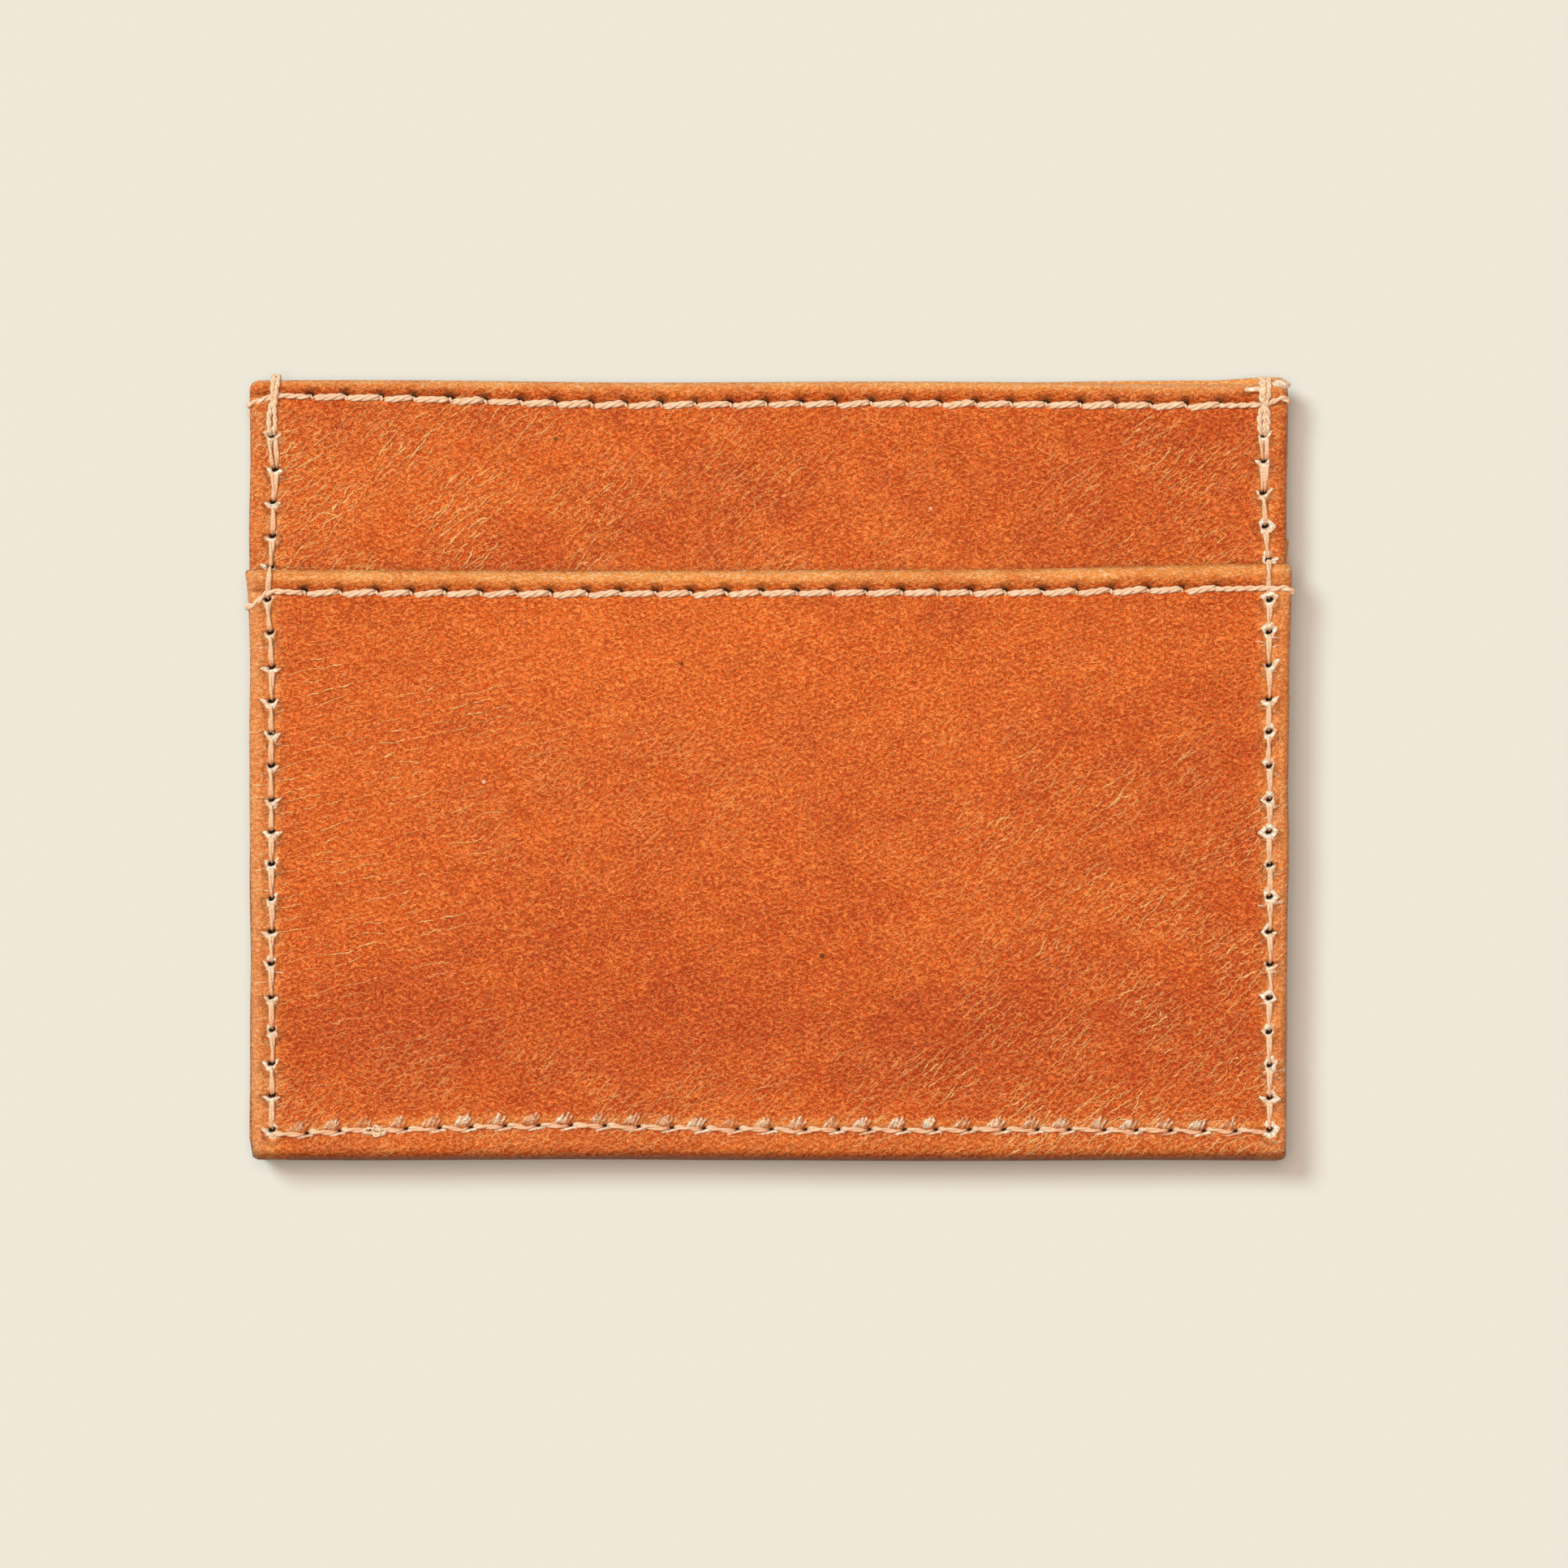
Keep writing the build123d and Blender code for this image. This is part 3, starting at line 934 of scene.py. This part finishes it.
def hem_beads(panel, seed):
    """The inner thread of a hem: a small loop drawn up at each hole, and stitches inside the slot."""
    thread = Thread()
    random = np.random.default_rng(seed)
    inner = panel.face - panel.outward * HEM_THICKNESS
    for i, (x, y) in enumerate(panel.row_holes):
        wide = random.uniform(0.0, 0.22)
        if not panel.pressed:
            knots = [
                lifted(panel, x, y + 0.14, -0.35),
                lifted(panel, x + 0.04, y + 0.07, -0.04),
                lifted(panel, x + 0.1 + wide / 2, y - 0.05, 0.1),
                lifted(panel, x + 0.13 + wide, y - 0.2, 0.0),
                lifted(panel, x + 0.12 + wide, y - 0.3, -0.35),
            ]
            thread.ply(knots, random.uniform(0.13, 0.18), seed + i, pitch=1.2, flat=1.0)
        if i:
            left = panel.row_holes[i - 1]
            knots = [
                (left[0] + 0.1, left[1], inner + panel.outward * 0.2),
                (left[0] + 0.5, left[1], inner - panel.outward * 0.02),
                (x - 0.5, y, inner - panel.outward * 0.02),
                (x - 0.1, y, inner + panel.outward * 0.2),
            ]
            thread.ply(knots, 0.24, seed + 40 + i, pitch=1.6)
    return thread


def outermost(panels, x, y):
    """The first panel, from the outside in, whose mouth is above a place."""
    return next(panel for panel in panels if y < float(panel.mouth_y(np.array(x))) - 0.05)


def draped(panels, x, y, lift):
    """A point over the outermost panel at a place, led up towards the next panel out near its mouth."""
    panel = outermost(panels, x, y)
    point = lifted(panel, x, y, min(lift, -0.02) if panel.pressed else lift)
    place = panels.index(panel)
    if place and not panels[place - 1].pressed:
        outer = panels[place - 1]
        mouth = float(outer.mouth_y(np.array(x)))
        near = float(smooth(1.5, 0.2, y - mouth))
        rim = lifted(outer, x, mouth - 0.5, lift)
        point = (x, y, point[2] + (rim[2] - point[2]) * near)
    return point


def edge_stitch(thread, panels, start, end, seed, doubled=0.0, size=EDGE_THREAD_RADIUS):
    """One stitch of the edge seam, from the hole at its start to the hole at its end.

    It comes up over the lip of its first hole, full and with a painted highlight, and thins and turns
    pinker towards the next. The two of a doubled pair start apart and draw together. One that crosses a
    mouth comes up sooner.
    """
    random = np.random.default_rng(seed)
    start, end = np.array(start), np.array(end)
    length = np.linalg.norm(end - start)
    along = (end - start) / length
    sideways = np.array([-along[1], along[0]])
    drift = random.uniform(-0.08, 0.12)
    pressed = outermost(panels, *((start + end) / 2)).pressed
    rise = -0.02 if pressed else 1.0

    def at(share, shift, lift):
        beside = doubled * (1 - 0.4 * share)
        x, y = start + (end - start) * share + sideways * (shift + beside)
        return draped(panels, x, y, lift)

    level = abs(along[0]) > 0.9
    first, last = (0.1, 0.92) if level else (0.1, 0.95)
    over_mouth = outermost(panels, *start) is not outermost(panels, *end)
    early = 0.35 if over_mouth and not pressed else 0.0
    first -= 0.2 * early
    slope = random.uniform(0.08, 0.2) if level else 0.0
    span = last - first
    knots = [
        at(first, slope * 0.6, early - 0.4),
        at(first + 0.05 * span, slope, early - 0.02),
        at(first + 0.14 * span, drift * 0.3 + slope, 0.26 * rise),
        at(first + 0.38 * span, drift * 0.6 + slope * 0.3, 0.2),
        at(first + 0.68 * span, drift - slope * 0.6, 0.13),
        at(first + 0.9 * span, drift * 0.6 - slope * 0.5, 0.02),
        at(last, 0, -0.4),
    ]
    radii = size * np.array([0.7, 1.0, 1.12, 1.04, 0.98, 0.9, 0.7])
    if level:
        radii = radii * random.uniform(0.78, 1.0)
    # Its paint runs from a painted highlight where the stitch comes up to the thread's pinker colour at its
    # end
    thread.ply(knots, radii, seed, pitch=3.4 if level else 6.5, end_highlight_to_blush=1.0, flat=0.6)


def edge_thread(panels, seed):
    """A thread of the seam that goes down one side, along the bottom and up the other side.

    On the front the first two stitches of each side are doubled, and top_bundles makes them.
    """
    thread = Thread()
    number = seed
    top = 2 if panels[0].outward == UP else 0
    for holes in (LEFT_HOLES[top:], RIGHT_HOLES[top:], BOTTOM_HOLES):
        for start, end in zip(holes, holes[1:]):
            number += 1
            edge_stitch(thread, panels, start, end, number)
    return thread


def knot(thread, panel, x, seed):
    """Where the thread was tied off, on the bottom seam: a few small turns drawn tight."""
    y = float(bottom_seam_y(x)) - 0.12
    turns = ((-0.5, 0.7, 0.28), (0.45, 0.6, 0.4), (0.0, 1.05, 0.24), (0.1, 0.38, 0.52))
    for number, (shift, wide, high) in enumerate(turns):
        turn = np.linspace(0, 1.7 * math.pi, 9) + 1.3 * number
        lift = 0.16 + 0.1 * number
        knots = [lifted(panel, x + shift + wide * math.cos(t), y + high * math.sin(t), lift) for t in turn]
        thread.ply(knots, 0.13, seed + number, pitch=1.1)


def rolled_end(panel, points, faces, paints):
    """Add the raw, rounded end of a panel's hem, which shows at its right corner, with painted shade in its
    spiral groove.
    """
    rings, around = 14, 24
    size = (0.92, 0.5, 0.42)
    theta = np.linspace(0.0, math.pi, rings)[:, None]
    phi = np.arange(around)[None, :] * math.tau / around
    reach = np.sin(theta)
    spiral = 0.5 + 0.5 * np.cos(phi - 3.2 * theta)
    swell = 1 + 0.09 * spiral * reach
    centre = (panel.sides[1][1] - 0.75, panel.mouth - 0.33, panel.face + 1.62)
    x = centre[0] + size[0] * reach * np.cos(phi) * swell
    y = centre[1] + size[1] * reach * np.sin(phi) * swell
    z = centre[2] + size[2] * np.cos(theta) * swell
    base = len(points)
    extra = np.stack([np.broadcast_to(v, (rings, around)).ravel() for v in (x, y, z)], 1)
    for i in range(rings - 1):
        for j in range(around):
            k = (j + 1) % around
            a, b = base + i * around, base + (i + 1) * around
            faces.append([a + j, b + j, b + k, a + k])
    # Painted shade in the spiral groove
    groove = np.clip(1.2 * np.broadcast_to((1 - spiral) ** 3 * reach, (rings, around)).ravel(), 0, 1)
    bare = np.zeros(rings * around)
    added = {"raw": bare + 0.55, "dark": 0.4 * groove}
    for name, values in paints.items():
        paints[name] = np.concatenate([values, added.get(name, bare)])
    return np.concatenate([points, extra])


# How far each strand lies from the middle of its bundle, and its radius, on the left and on the right
BUNDLE_STRANDS = {-1: ((-0.3, 0.27), (0.3, 0.25)), 1: ((-0.4, 0.3), (0.38, 0.31), (0.1, 0.24))}


def top_bundles(thread, front, back, seed):
    """The backstitches at the top of each side, which go over the holder's top edge."""
    for side, holes in ((-1, LEFT_HOLES), (1, RIGHT_HOLES)):
        (x, hole_y), second, third = holes[:3]
        top = float(front.mouth_y(np.array(x)))
        lean = 0.35 if side < 0 else 0.1
        over = (x + lean, top + (0.33 if side < 0 else 0.5), (front.face + back.face) / 2)
        strands = BUNDLE_STRANDS[side]
        for number, (shift, size) in enumerate(strands):
            lift = 0.24 + 0.1 * number
            crossed = shift * (0.75 if side < 0 else -0.9)
            knots = [
                lifted(front, x + shift * 0.5, hole_y + 0.12, -0.35),
                lifted(front, x + shift * 0.8, hole_y + 0.4, 0.05),
                lifted(front, x + shift, hole_y + 1.2, 0.2),
                lifted(front, x + shift * 0.8, BUNDLE_SWELL_Y + 0.25 * number, lift),
                lifted(front, x + crossed * 0.7 + lean * 0.5, BUNDLE_CROSS_Y, lift + 0.06),
                lifted(front, x + crossed + lean * 0.9, top - 0.4, lift),
                (over[0] + crossed, over[1], over[2] + 0.5),
                (over[0] + crossed, over[1], over[2] - 0.5),
                lifted(back, x + crossed + lean * 0.8, top - 0.5, 0.22),
                lifted(back, x + crossed, 35.2, 0.18),
                lifted(back, x + crossed, 34.7, -0.2),
            ]
            thread.ply(knots, size, seed + number + 10 * side, pitch=1.7, flat=0.9)
        for number, shift in enumerate((-0.29, 0.29)):
            edge_stitch(thread, [front], holes[0], second, seed + 20 + number + side, shift, 0.24)
            edge_stitch(thread, [front], second, third, seed + 30 + number + side, -0.75 * shift, 0.23)


# ---------------------------------------------------------------- materials

# Colours of the hide where it is darkest and lightest, and the same where it is golden
DARK_HIDE = (0.53, 0.038, 0.002, 1)
LIGHT_HIDE = (0.86, 0.128, 0.006, 1)
DARK_GOLD = (0.8, 0.2, 0.02, 1)
LIGHT_GOLD = (1.0, 0.38, 0.066, 1)
WORN_EDGE = (0.8, 0.33, 0.13, 1)
# Painted shade, mixed in where the dark paint is high
PAINTED_SHADE = (0.13, 0.022, 0.003, 1)
# Painted shade inside the needle holes
SHADE_IN_A_HOLE = (0.016, 0.005, 0.003, 1)
# What the shaded side of the grain is multiplied by
SHADED = (0.42, 0.22, 0.11, 1)
# Colours of the lit side of the grain and of the creases, on plain hide and on golden hide
LIT_GRAIN = ((1.0, 0.31, 0.07, 1), (1.0, 0.55, 0.22, 1))
LIT_CREASES = ((1.0, 0.54, 0.19, 1), (1.0, 0.66, 0.36, 1))
# Painted glints where the hide is golden
PAINTED_GLINTS = (1.0, 0.72, 0.45, 1)
TORN_FIBRES = ((0.82, 0.46, 0.24, 1), (1.0, 0.9, 0.7, 1))

# Heights of the relief that is only in the material
GRAIN_HEIGHT = 0.05
TOOTH_HEIGHT = 0.2
CREASE_HEIGHT = 0.05
FIBRE_HEIGHT = 0.06

DARK_SPECK = (0.08, 0.02, 0.006, 1)
LIGHT_SPECK = (1.0, 0.6, 0.32, 1)
# Small marks in the hide: place, radius and colour
SPECKS = [
    ((-20.7, 32.3, 4.7), 0.3, DARK_SPECK), ((-8.4, 10.3, 5.7), 0.32, DARK_SPECK),
    ((5.3, -18.2, 5.7), 0.34, DARK_SPECK), ((15.9, 25.5, 4.7), 0.22, LIGHT_SPECK),
    ((-27.7, -1.2, 5.7), 0.24, LIGHT_SPECK),
]


class Nodes:
    """A short way to write a node tree."""

    def __init__(self, name):
        self.material = bpy.data.materials.new(name)
        self.material.use_nodes = True
        self.tree = self.material.node_tree
        self.tree.nodes.clear()

    def add(self, kind, inputs=None, **settings):
        node = self.tree.nodes.new(kind)
        for key, value in settings.items():
            setattr(node, key, value)
        for key, value in (inputs or {}).items():
            if isinstance(value, bpy.types.NodeSocket):
                self.tree.links.new(value, node.inputs[key])
            else:
                node.inputs[key].default_value = value
        return node

    def attribute(self, name):
        return self.add("ShaderNodeAttribute", attribute_name=name).outputs["Fac"]

    def millimetres(self):
        """Object coordinates in millimetres."""
        coords = self.add("ShaderNodeTexCoord").outputs["Object"]
        scale = (1 / MM, 1 / MM, 1 / MM)
        return self.add("ShaderNodeMapping", {"Vector": coords, "Scale": scale}).outputs["Vector"]

    def along(self, vector, degrees, length, width):
        """Coordinates in which one unit is a length along a direction, and a width across it."""
        turn = (0, 0, math.radians(degrees))
        inputs = {"Vector": vector, "Rotation": turn, "Scale": (length, width, width)}
        return self.add("ShaderNodeMapping", inputs, vector_type="TEXTURE").outputs["Vector"]

    def strokes(self, vector, degrees, spacing, sway, lump, thickness):
        """Short wavering ridges along an angle, each lit on one side: (the bright ridge, its dark side).

        They lie a spacing apart, wander by sway spacings and show only in lumps of some size.
        """
        spaced = self.along(vector, degrees, spacing, spacing)
        across = self.add("ShaderNodeSeparateXYZ", {"Vector": spaced}).outputs["Y"]
        bend = self.noise(self.along(vector, degrees, 2.4 * spacing, 2.0 * spacing), 1.0, 1.5, 0.5)
        jitter = self.times(self.noise(vector, 2.3, 2.0, 0.6), 0.3 / spacing)
        value = self.plus(across, self.times(bend, sway))
        signed = self.plus(self.math("FRACT", self.plus(value, jitter)), -0.5)
        lumps = self.noise(self.along(vector, degrees, 2.2 * lump, lump), 1.0, 2.0, 0.6)
        shown = self.ramp(lumps, 0.45, 0.56)
        beside = self.plus(signed, 1.9 * thickness)
        sides = [self.ramp(self.math("ABSOLUTE", off), 0.4 * thickness, 1.3 * thickness, 1.0, 0.0)
                 for off in (signed, beside)]
        return [self.times(side, shown) for side in sides]

    def noise(self, vector, scale, detail=3.0, roughness=0.5, distortion=0.0):
        inputs = {"Vector": vector, "Scale": scale, "Detail": detail, "Roughness": roughness,
                  "Distortion": distortion}
        return self.add("ShaderNodeTexNoise", inputs).outputs["Fac"]

    def math(self, operation, a, b=0.0):
        return self.add("ShaderNodeMath", {0: a, 1: b}, operation=operation).outputs[0]

    def plus(self, a, b):
        return self.math("ADD", a, b)

    def times(self, a, b):
        return self.math("MULTIPLY", a, b)

    def highest(self, *values):
        """The highest of two or more values."""
        first, *others = values
        for other in others:
            first = self.math("MAXIMUM", first, other)
        return first

    def ramp(self, value, low, high, out_low=0.0, out_high=1.0):
        """A smooth step of a value from one range to another."""
        inputs = {"Value": value, "From Min": low, "From Max": high, "To Min": out_low, "To Max": out_high}
        return self.add("ShaderNodeMapRange", inputs, interpolation_type="SMOOTHSTEP").outputs[0]

    def mix(self, share, a, b, blend="MIX"):
        node = self.add("ShaderNodeMix", data_type="RGBA", blend_type=blend)
        for key, kind, value in (("Factor", "VALUE", share), ("A", "RGBA", a), ("B", "RGBA", b)):
            socket = next(s for s in node.inputs if s.name == key and s.type == kind)
            if isinstance(value, bpy.types.NodeSocket):
                self.tree.links.new(value, socket)
            else:
                socket.default_value = value
        return next(s for s in node.outputs if s.type == "RGBA")

    def bump(self, height):
        """The normal over a relief whose height is in millimetres."""
        return self.add("ShaderNodeBump", {"Height": height, "Strength": 1.0, "Distance": MM}).outputs[0]

    def finish(self, shader):
        self.add("ShaderNodeOutputMaterial", {"Surface": shader})
        return self.material


def grain_strokes(n, place, slanted):
    """Short strokes in three directions: (lit side, shaded side). More slant where the hide is creased."""
    slanting, shade_a = n.strokes(place, 47, 0.56, 1.5, 0.19, 0.15)
    rising, shade_b = n.strokes(place, 14, 0.48, 1.6, 0.16, 0.16)
    falling, shade_c = n.strokes(place, -26, 0.5, 1.6, 0.16, 0.15)
    lean = n.ramp(slanted, 0.0, 0.5, 0.3, 1.0)
    lit = n.highest(n.times(slanting, lean), rising, falling)
    shaded = n.highest(n.times(shade_a, lean), shade_b, shade_c)
    return lit, shaded


def long_creases(n, place, slanted, level):
    """Long thin ridges that come and go, slanting or level as painted: (lit side, shaded side)."""
    steep, under_steep = n.strokes(place, 50, 1.2, 1.4, 0.55, 0.048)
    gentle, under_gentle = n.strokes(place, 33, 1.0, 1.4, 0.55, 0.058)
    flat, under_flat = n.strokes(place, 13, 1.1, 1.3, 0.65, 0.052)
    lit = n.highest(n.times(n.highest(gentle, steep), slanted), n.times(flat, level))
    shaded = n.highest(n.times(n.highest(under_gentle, under_steep), slanted), n.times(under_flat, level))
    return lit, shaded


def add_specks(n, place, colour):
    """The colour with the hide's small marks in it."""
    for speck, radius, shade in SPECKS:
        away = n.add("ShaderNodeVectorMath", {0: place, 1: speck}, operation="DISTANCE").outputs["Value"]
        colour = n.mix(n.ramp(away, 0.5 * radius, radius, 0.85, 0.0), colour, shade)
    return colour


def leather_material():
    """Waxed orange-tan hide: clouded colour, fine grain, light creases, pale folds and torn fibres.

    The lit and shaded sides of the grain and of the creases are in the colour as well as in the relief, for
    light from the upper left.
    """
    n = Nodes("waxed_leather")
    place = n.millimetres()
    tone, pale, edge, dark, raw, pit, slanted, level = (n.attribute(name) for name in PAINTS)
    tooth = n.noise(place, 2.7, 2.5, 0.65, 0.6)
    grain, grain_shade = grain_strokes(n, place, slanted)
    creases, crease_shade = long_creases(n, place, slanted, level)

    # The hide's own colour
    patches = n.noise(n.along(place, 20, 2.8, 1.9), 1.0, 3, 0.55, 0.3)
    clouds = n.times(n.plus(patches, -0.5), 0.8)
    lightness = n.plus(n.times(tone, 0.3), clouds)
    light = n.ramp(lightness, -0.6, 0.6)
    colour = n.mix(pale, n.mix(light, DARK_HIDE, LIGHT_HIDE), n.mix(light, DARK_GOLD, LIGHT_GOLD))
    colour = n.mix(n.times(edge, 0.8), colour, WORN_EDGE)

    # Painted shade and highlights on the grain and the creases, and painted glints on the golden hems
    low = n.highest(n.ramp(tooth, 0.4, 0.54, 0.72, 0.0), n.times(grain_shade, 0.78))
    low = n.highest(low, n.times(crease_shade, 0.9))
    low = n.times(low, n.ramp(pale, 0.0, 1.0, 1.0, 0.4))
    colour = n.mix(low, colour, n.mix(1.0, colour, SHADED, "MULTIPLY"))
    lit = n.highest(n.times(grain, 0.9), n.ramp(tooth, 0.54, 0.66, 0.0, 0.75))
    lit = n.times(lit, n.ramp(lightness, -0.6, 0.6, 0.56, 0.96))
    colour = n.mix(lit, colour, n.mix(pale, *LIT_GRAIN))
    colour = n.mix(creases, colour, n.mix(pale, *LIT_CREASES))
    glints = n.ramp(n.noise(n.along(place, 8, 0.5, 0.2), 1.0, 2, 0.6), 0.54, 0.66)
    colour = n.mix(n.times(glints, n.ramp(pale, 0.5, 1.0, 0.0, 0.7)), colour, PAINTED_GLINTS)

    # Marks, painted shade, torn fibres and painted shade inside the holes
    colour = add_specks(n, place, colour)
    colour = n.mix(n.times(dark, 0.85), colour, PAINTED_SHADE)
    colour = n.mix(n.ramp(raw, 0.22, 0.7), colour, n.mix(n.ramp(tooth, 0.38, 0.6), *TORN_FIBRES))
    colour = n.mix(n.ramp(pit, 0.2, 0.7), colour, SHADE_IN_A_HOLE)

    height = n.plus(n.times(grain, GRAIN_HEIGHT), n.times(tooth, TOOTH_HEIGHT))
    height = n.plus(height, n.times(creases, CREASE_HEIGHT))
    rough = n.plus(n.ramp(tooth, 0.35, 0.65, 0.46, 0.36), n.times(raw, 0.35))
    shader = n.add("ShaderNodeBsdfPrincipled", {
        "Base Color": colour, "Roughness": rough, "Normal": n.bump(height),
        "Specular IOR Level": 0.45, "Specular Tint": (1.0, 0.6, 0.3, 1),
    })
    return n.finish(shader.outputs[0])


def thread_material(name, bright, blushed):
    """Natural waxed thread with fine fibres along it: bright where its paint is low, with a warmer tint
    where it is high.
    """
    n = Nodes(name)
    place = n.millimetres()
    fibres = n.noise(n.along(place, 15, 0.5, 0.14), 1.0, 3, 0.6, 0.5)
    soil = n.noise(place, 0.8, 2, 0.5)
    colour = n.mix(n.attribute("highlight_to_blush"), bright, blushed)
    darker = n.mix(0.62, colour, (0.72, 0.25, 0.08, 1))
    colour = n.mix(n.ramp(fibres, 0.36, 0.64), darker, colour)
    colour = n.mix(n.ramp(soil, 0.5, 0.8, 0.0, 0.25), colour, (0.7, 0.38, 0.2, 1))
    shader = n.add("ShaderNodeBsdfPrincipled", {
        "Base Color": colour, "Roughness": 0.6, "Normal": n.bump(n.times(fibres, FIBRE_HEIGHT)),
        "Specular IOR Level": 0.35,
    })
    return n.finish(shader.outputs[0])


def floor_material():
    """Plain cream paper."""
    n = Nodes("cream_paper")
    tooth = n.noise(n.millimetres(), 2.0, 2, 0.5)
    colour = n.mix(n.ramp(tooth, 0.3, 0.7), (0.705, 0.661, 0.5646, 1), (0.709, 0.665, 0.5682, 1))
    shader = n.add("ShaderNodeBsdfDiffuse", {"Color": colour})
    return n.finish(shader.outputs[0])


# ---------------------------------------------------------------- the holder


def even_drop(x):
    """Hem stitches that run level with the mouth."""
    return 2.0 + 0 * x


front_pocket = Panel(
    "front_pocket", UP, sides=((50.3, 50.7), (50.55, 51.05)), flares=(0.45, 0.15),
    mouth_line=lambda x: 0.3 + 0.68 * smooth(18, 50, x) + 0.06 * np.sin(x / 11),
    row_drop=lambda x: 2.25 + 0.18 * smooth(10, 48, x),
    shown_from=WHOLE, seed=3, band_pale=0.66, sink=0.42,
)
front_panel = Panel(
    "front_panel", UP, sides=((50.6, 50.65), (50.5, 50.75)), flares=(0.05, 0.1),
    mouth_line=lambda x: 0.12 - 0.2 * smooth(-50, -12, x) - 0.32 * smooth(22, 50, x) + 0.05 * np.sin(x / 7),
    row_drop=lambda x: 1.6 + 0.6 * smooth(-50, -15, x) - 0.15 * smooth(15, 50, x),
    shown_from=17, seed=4, band_pale=0.35,
)
back_panel = Panel(
    "back_panel", DOWN, sides=((50.6, 50.6), (50.6, 50.85)), flares=(0.0, 0.0),
    mouth_line=lambda x: -0.3 + 0.42 * smooth(4, 44, x) + 0.3 * smooth(43, 49, x),
    row_drop=even_drop, shown_from=21, seed=5, band_pale=0.4,
)
back_upper_pocket = Panel(
    "back_upper_pocket", DOWN, sides=((50.4, 50.5), (50.75, 50.8)), flares=(0.15, 0.45),
    mouth_line=lambda x: 0.1 * np.sin(x / 13),
    row_drop=even_drop, shown_from=7.5, seed=6, band_pale=0.6,
)
back_lower_pocket = Panel(
    "back_lower_pocket", DOWN, sides=((50.2, 50.3), (50.85, 51.0)), flares=(0.65, 0.35),
    mouth_line=lambda x: 0.08 * np.sin(x / 12 + 1),
    row_drop=even_drop, shown_from=WHOLE, seed=7, band_pale=0.6,
)

leather = leather_material()
hem_cotton = thread_material("hem_thread", (1.0, 0.68, 0.44, 1), (0.86, 0.5, 0.28, 1))
edge_cotton = thread_material("edge_thread", (1.0, 0.72, 0.46, 1), (0.9, 0.46, 0.25, 1))

# Radii of the panels' corners
PANEL_CORNERS = {"front_panel": 1.0, "back_panel": 0.9}
POCKET_CORNER = 0.55

for panel in (front_pocket, front_panel, back_panel, back_upper_pocket, back_lower_pocket):
    points, faces, paints = leather_mesh(panel, PANEL_CORNERS.get(panel.node, POCKET_CORNER))
    if panel is back_panel:
        points = rolled_end(panel, points, faces, paints)
    make_object("leather_" + panel.node, points, faces, paints, leather, [panel.node])
    outer_name = panel.node + "_hem_outer_thread"
    hem_stitches(panel, panel.seed * 100).make("sewn_" + outer_name, hem_cotton, "hem_thread", [outer_name])
    inner_name = panel.node + "_hem_inner_thread"
    hem_beads(panel, panel.seed * 200).make("sewn_" + inner_name, hem_cotton, "hem_thread", [inner_name])

front_thread = edge_thread([front_pocket, front_panel], 1000)
top_bundles(front_thread, front_panel, back_panel, 1500)
knot(front_thread, front_pocket, -38.3, 1700)
front_thread.make("sewn_front_edge_thread", edge_cotton, "edge_thread", ["front_edge_thread"])
back_thread = edge_thread([back_lower_pocket, back_upper_pocket, back_panel], 2000)
back_thread.make("sewn_back_edge_thread", edge_cotton, "edge_thread", ["back_edge_thread"])


# ---------------------------------------------------------------- floor, light and camera


def make_floor():
    """A wide sheet of paper just under the holder."""
    half = 1.5
    top = -0.02 * MM
    mesh = bpy.data.meshes.new("floor")
    corners = [(-half, -half, top), (half, -half, top), (half, half, top), (-half, half, top)]
    mesh.from_pydata(corners, [], [(0, 1, 2, 3)])
    mesh.materials.append(floor_material())
    floor = bpy.data.objects.new("floor", mesh)
    bpy.context.scene.collection.objects.link(floor)


def make_far_light(name, azimuth, zenith, spread, strength, colour):
    """A soft far light. Azimuth is measured from +X towards +Y, and spread is how wide it looks."""
    data = bpy.data.lights.new(name, "SUN")
    data.angle = math.radians(spread)
    data.energy = strength
    data.color = colour
    light = bpy.data.objects.new(name, data)
    light.rotation_euler = (0, math.radians(zenith), math.radians(azimuth))
    bpy.context.scene.collection.objects.link(light)


def make_room_light():
    """Even light from the whole room."""
    world = bpy.data.worlds.new("room")
    world.use_nodes = True
    world.node_tree.nodes["Background"].inputs["Color"].default_value = (1.0, 1.0, 1.0, 1)
    world.node_tree.nodes["Background"].inputs["Strength"].default_value = 0.145
    bpy.context.scene.world = world


def make_camera():
    """Straight above the holder with a long lens, a little to the right of and below its middle."""
    view_width = 153.1
    front_face = 5
    data = bpy.data.cameras.new("camera")
    data.sensor_width = 36
    data.lens = 200
    height = data.lens * view_width / data.sensor_width
    camera = bpy.data.objects.new("camera", data)
    camera.location = (1.58 * MM, -1.42 * MM, (height + front_face) * MM)
    data.clip_start = 0.05
    data.clip_end = 20
    bpy.context.scene.collection.objects.link(camera)
    bpy.context.scene.camera = camera


make_floor()
make_room_light()
# The key is cool and the overhead warm, so together they are white and the key's shadow is warm
make_far_light("key", 140, 38, 20, 1.82, (0.864, 1.135, 1.244))
make_far_light("overhead", 130, 6, 36, 1.95, (1.1, 0.9, 0.82))
make_camera()
bpy.context.scene.view_settings.view_transform = "Standard"
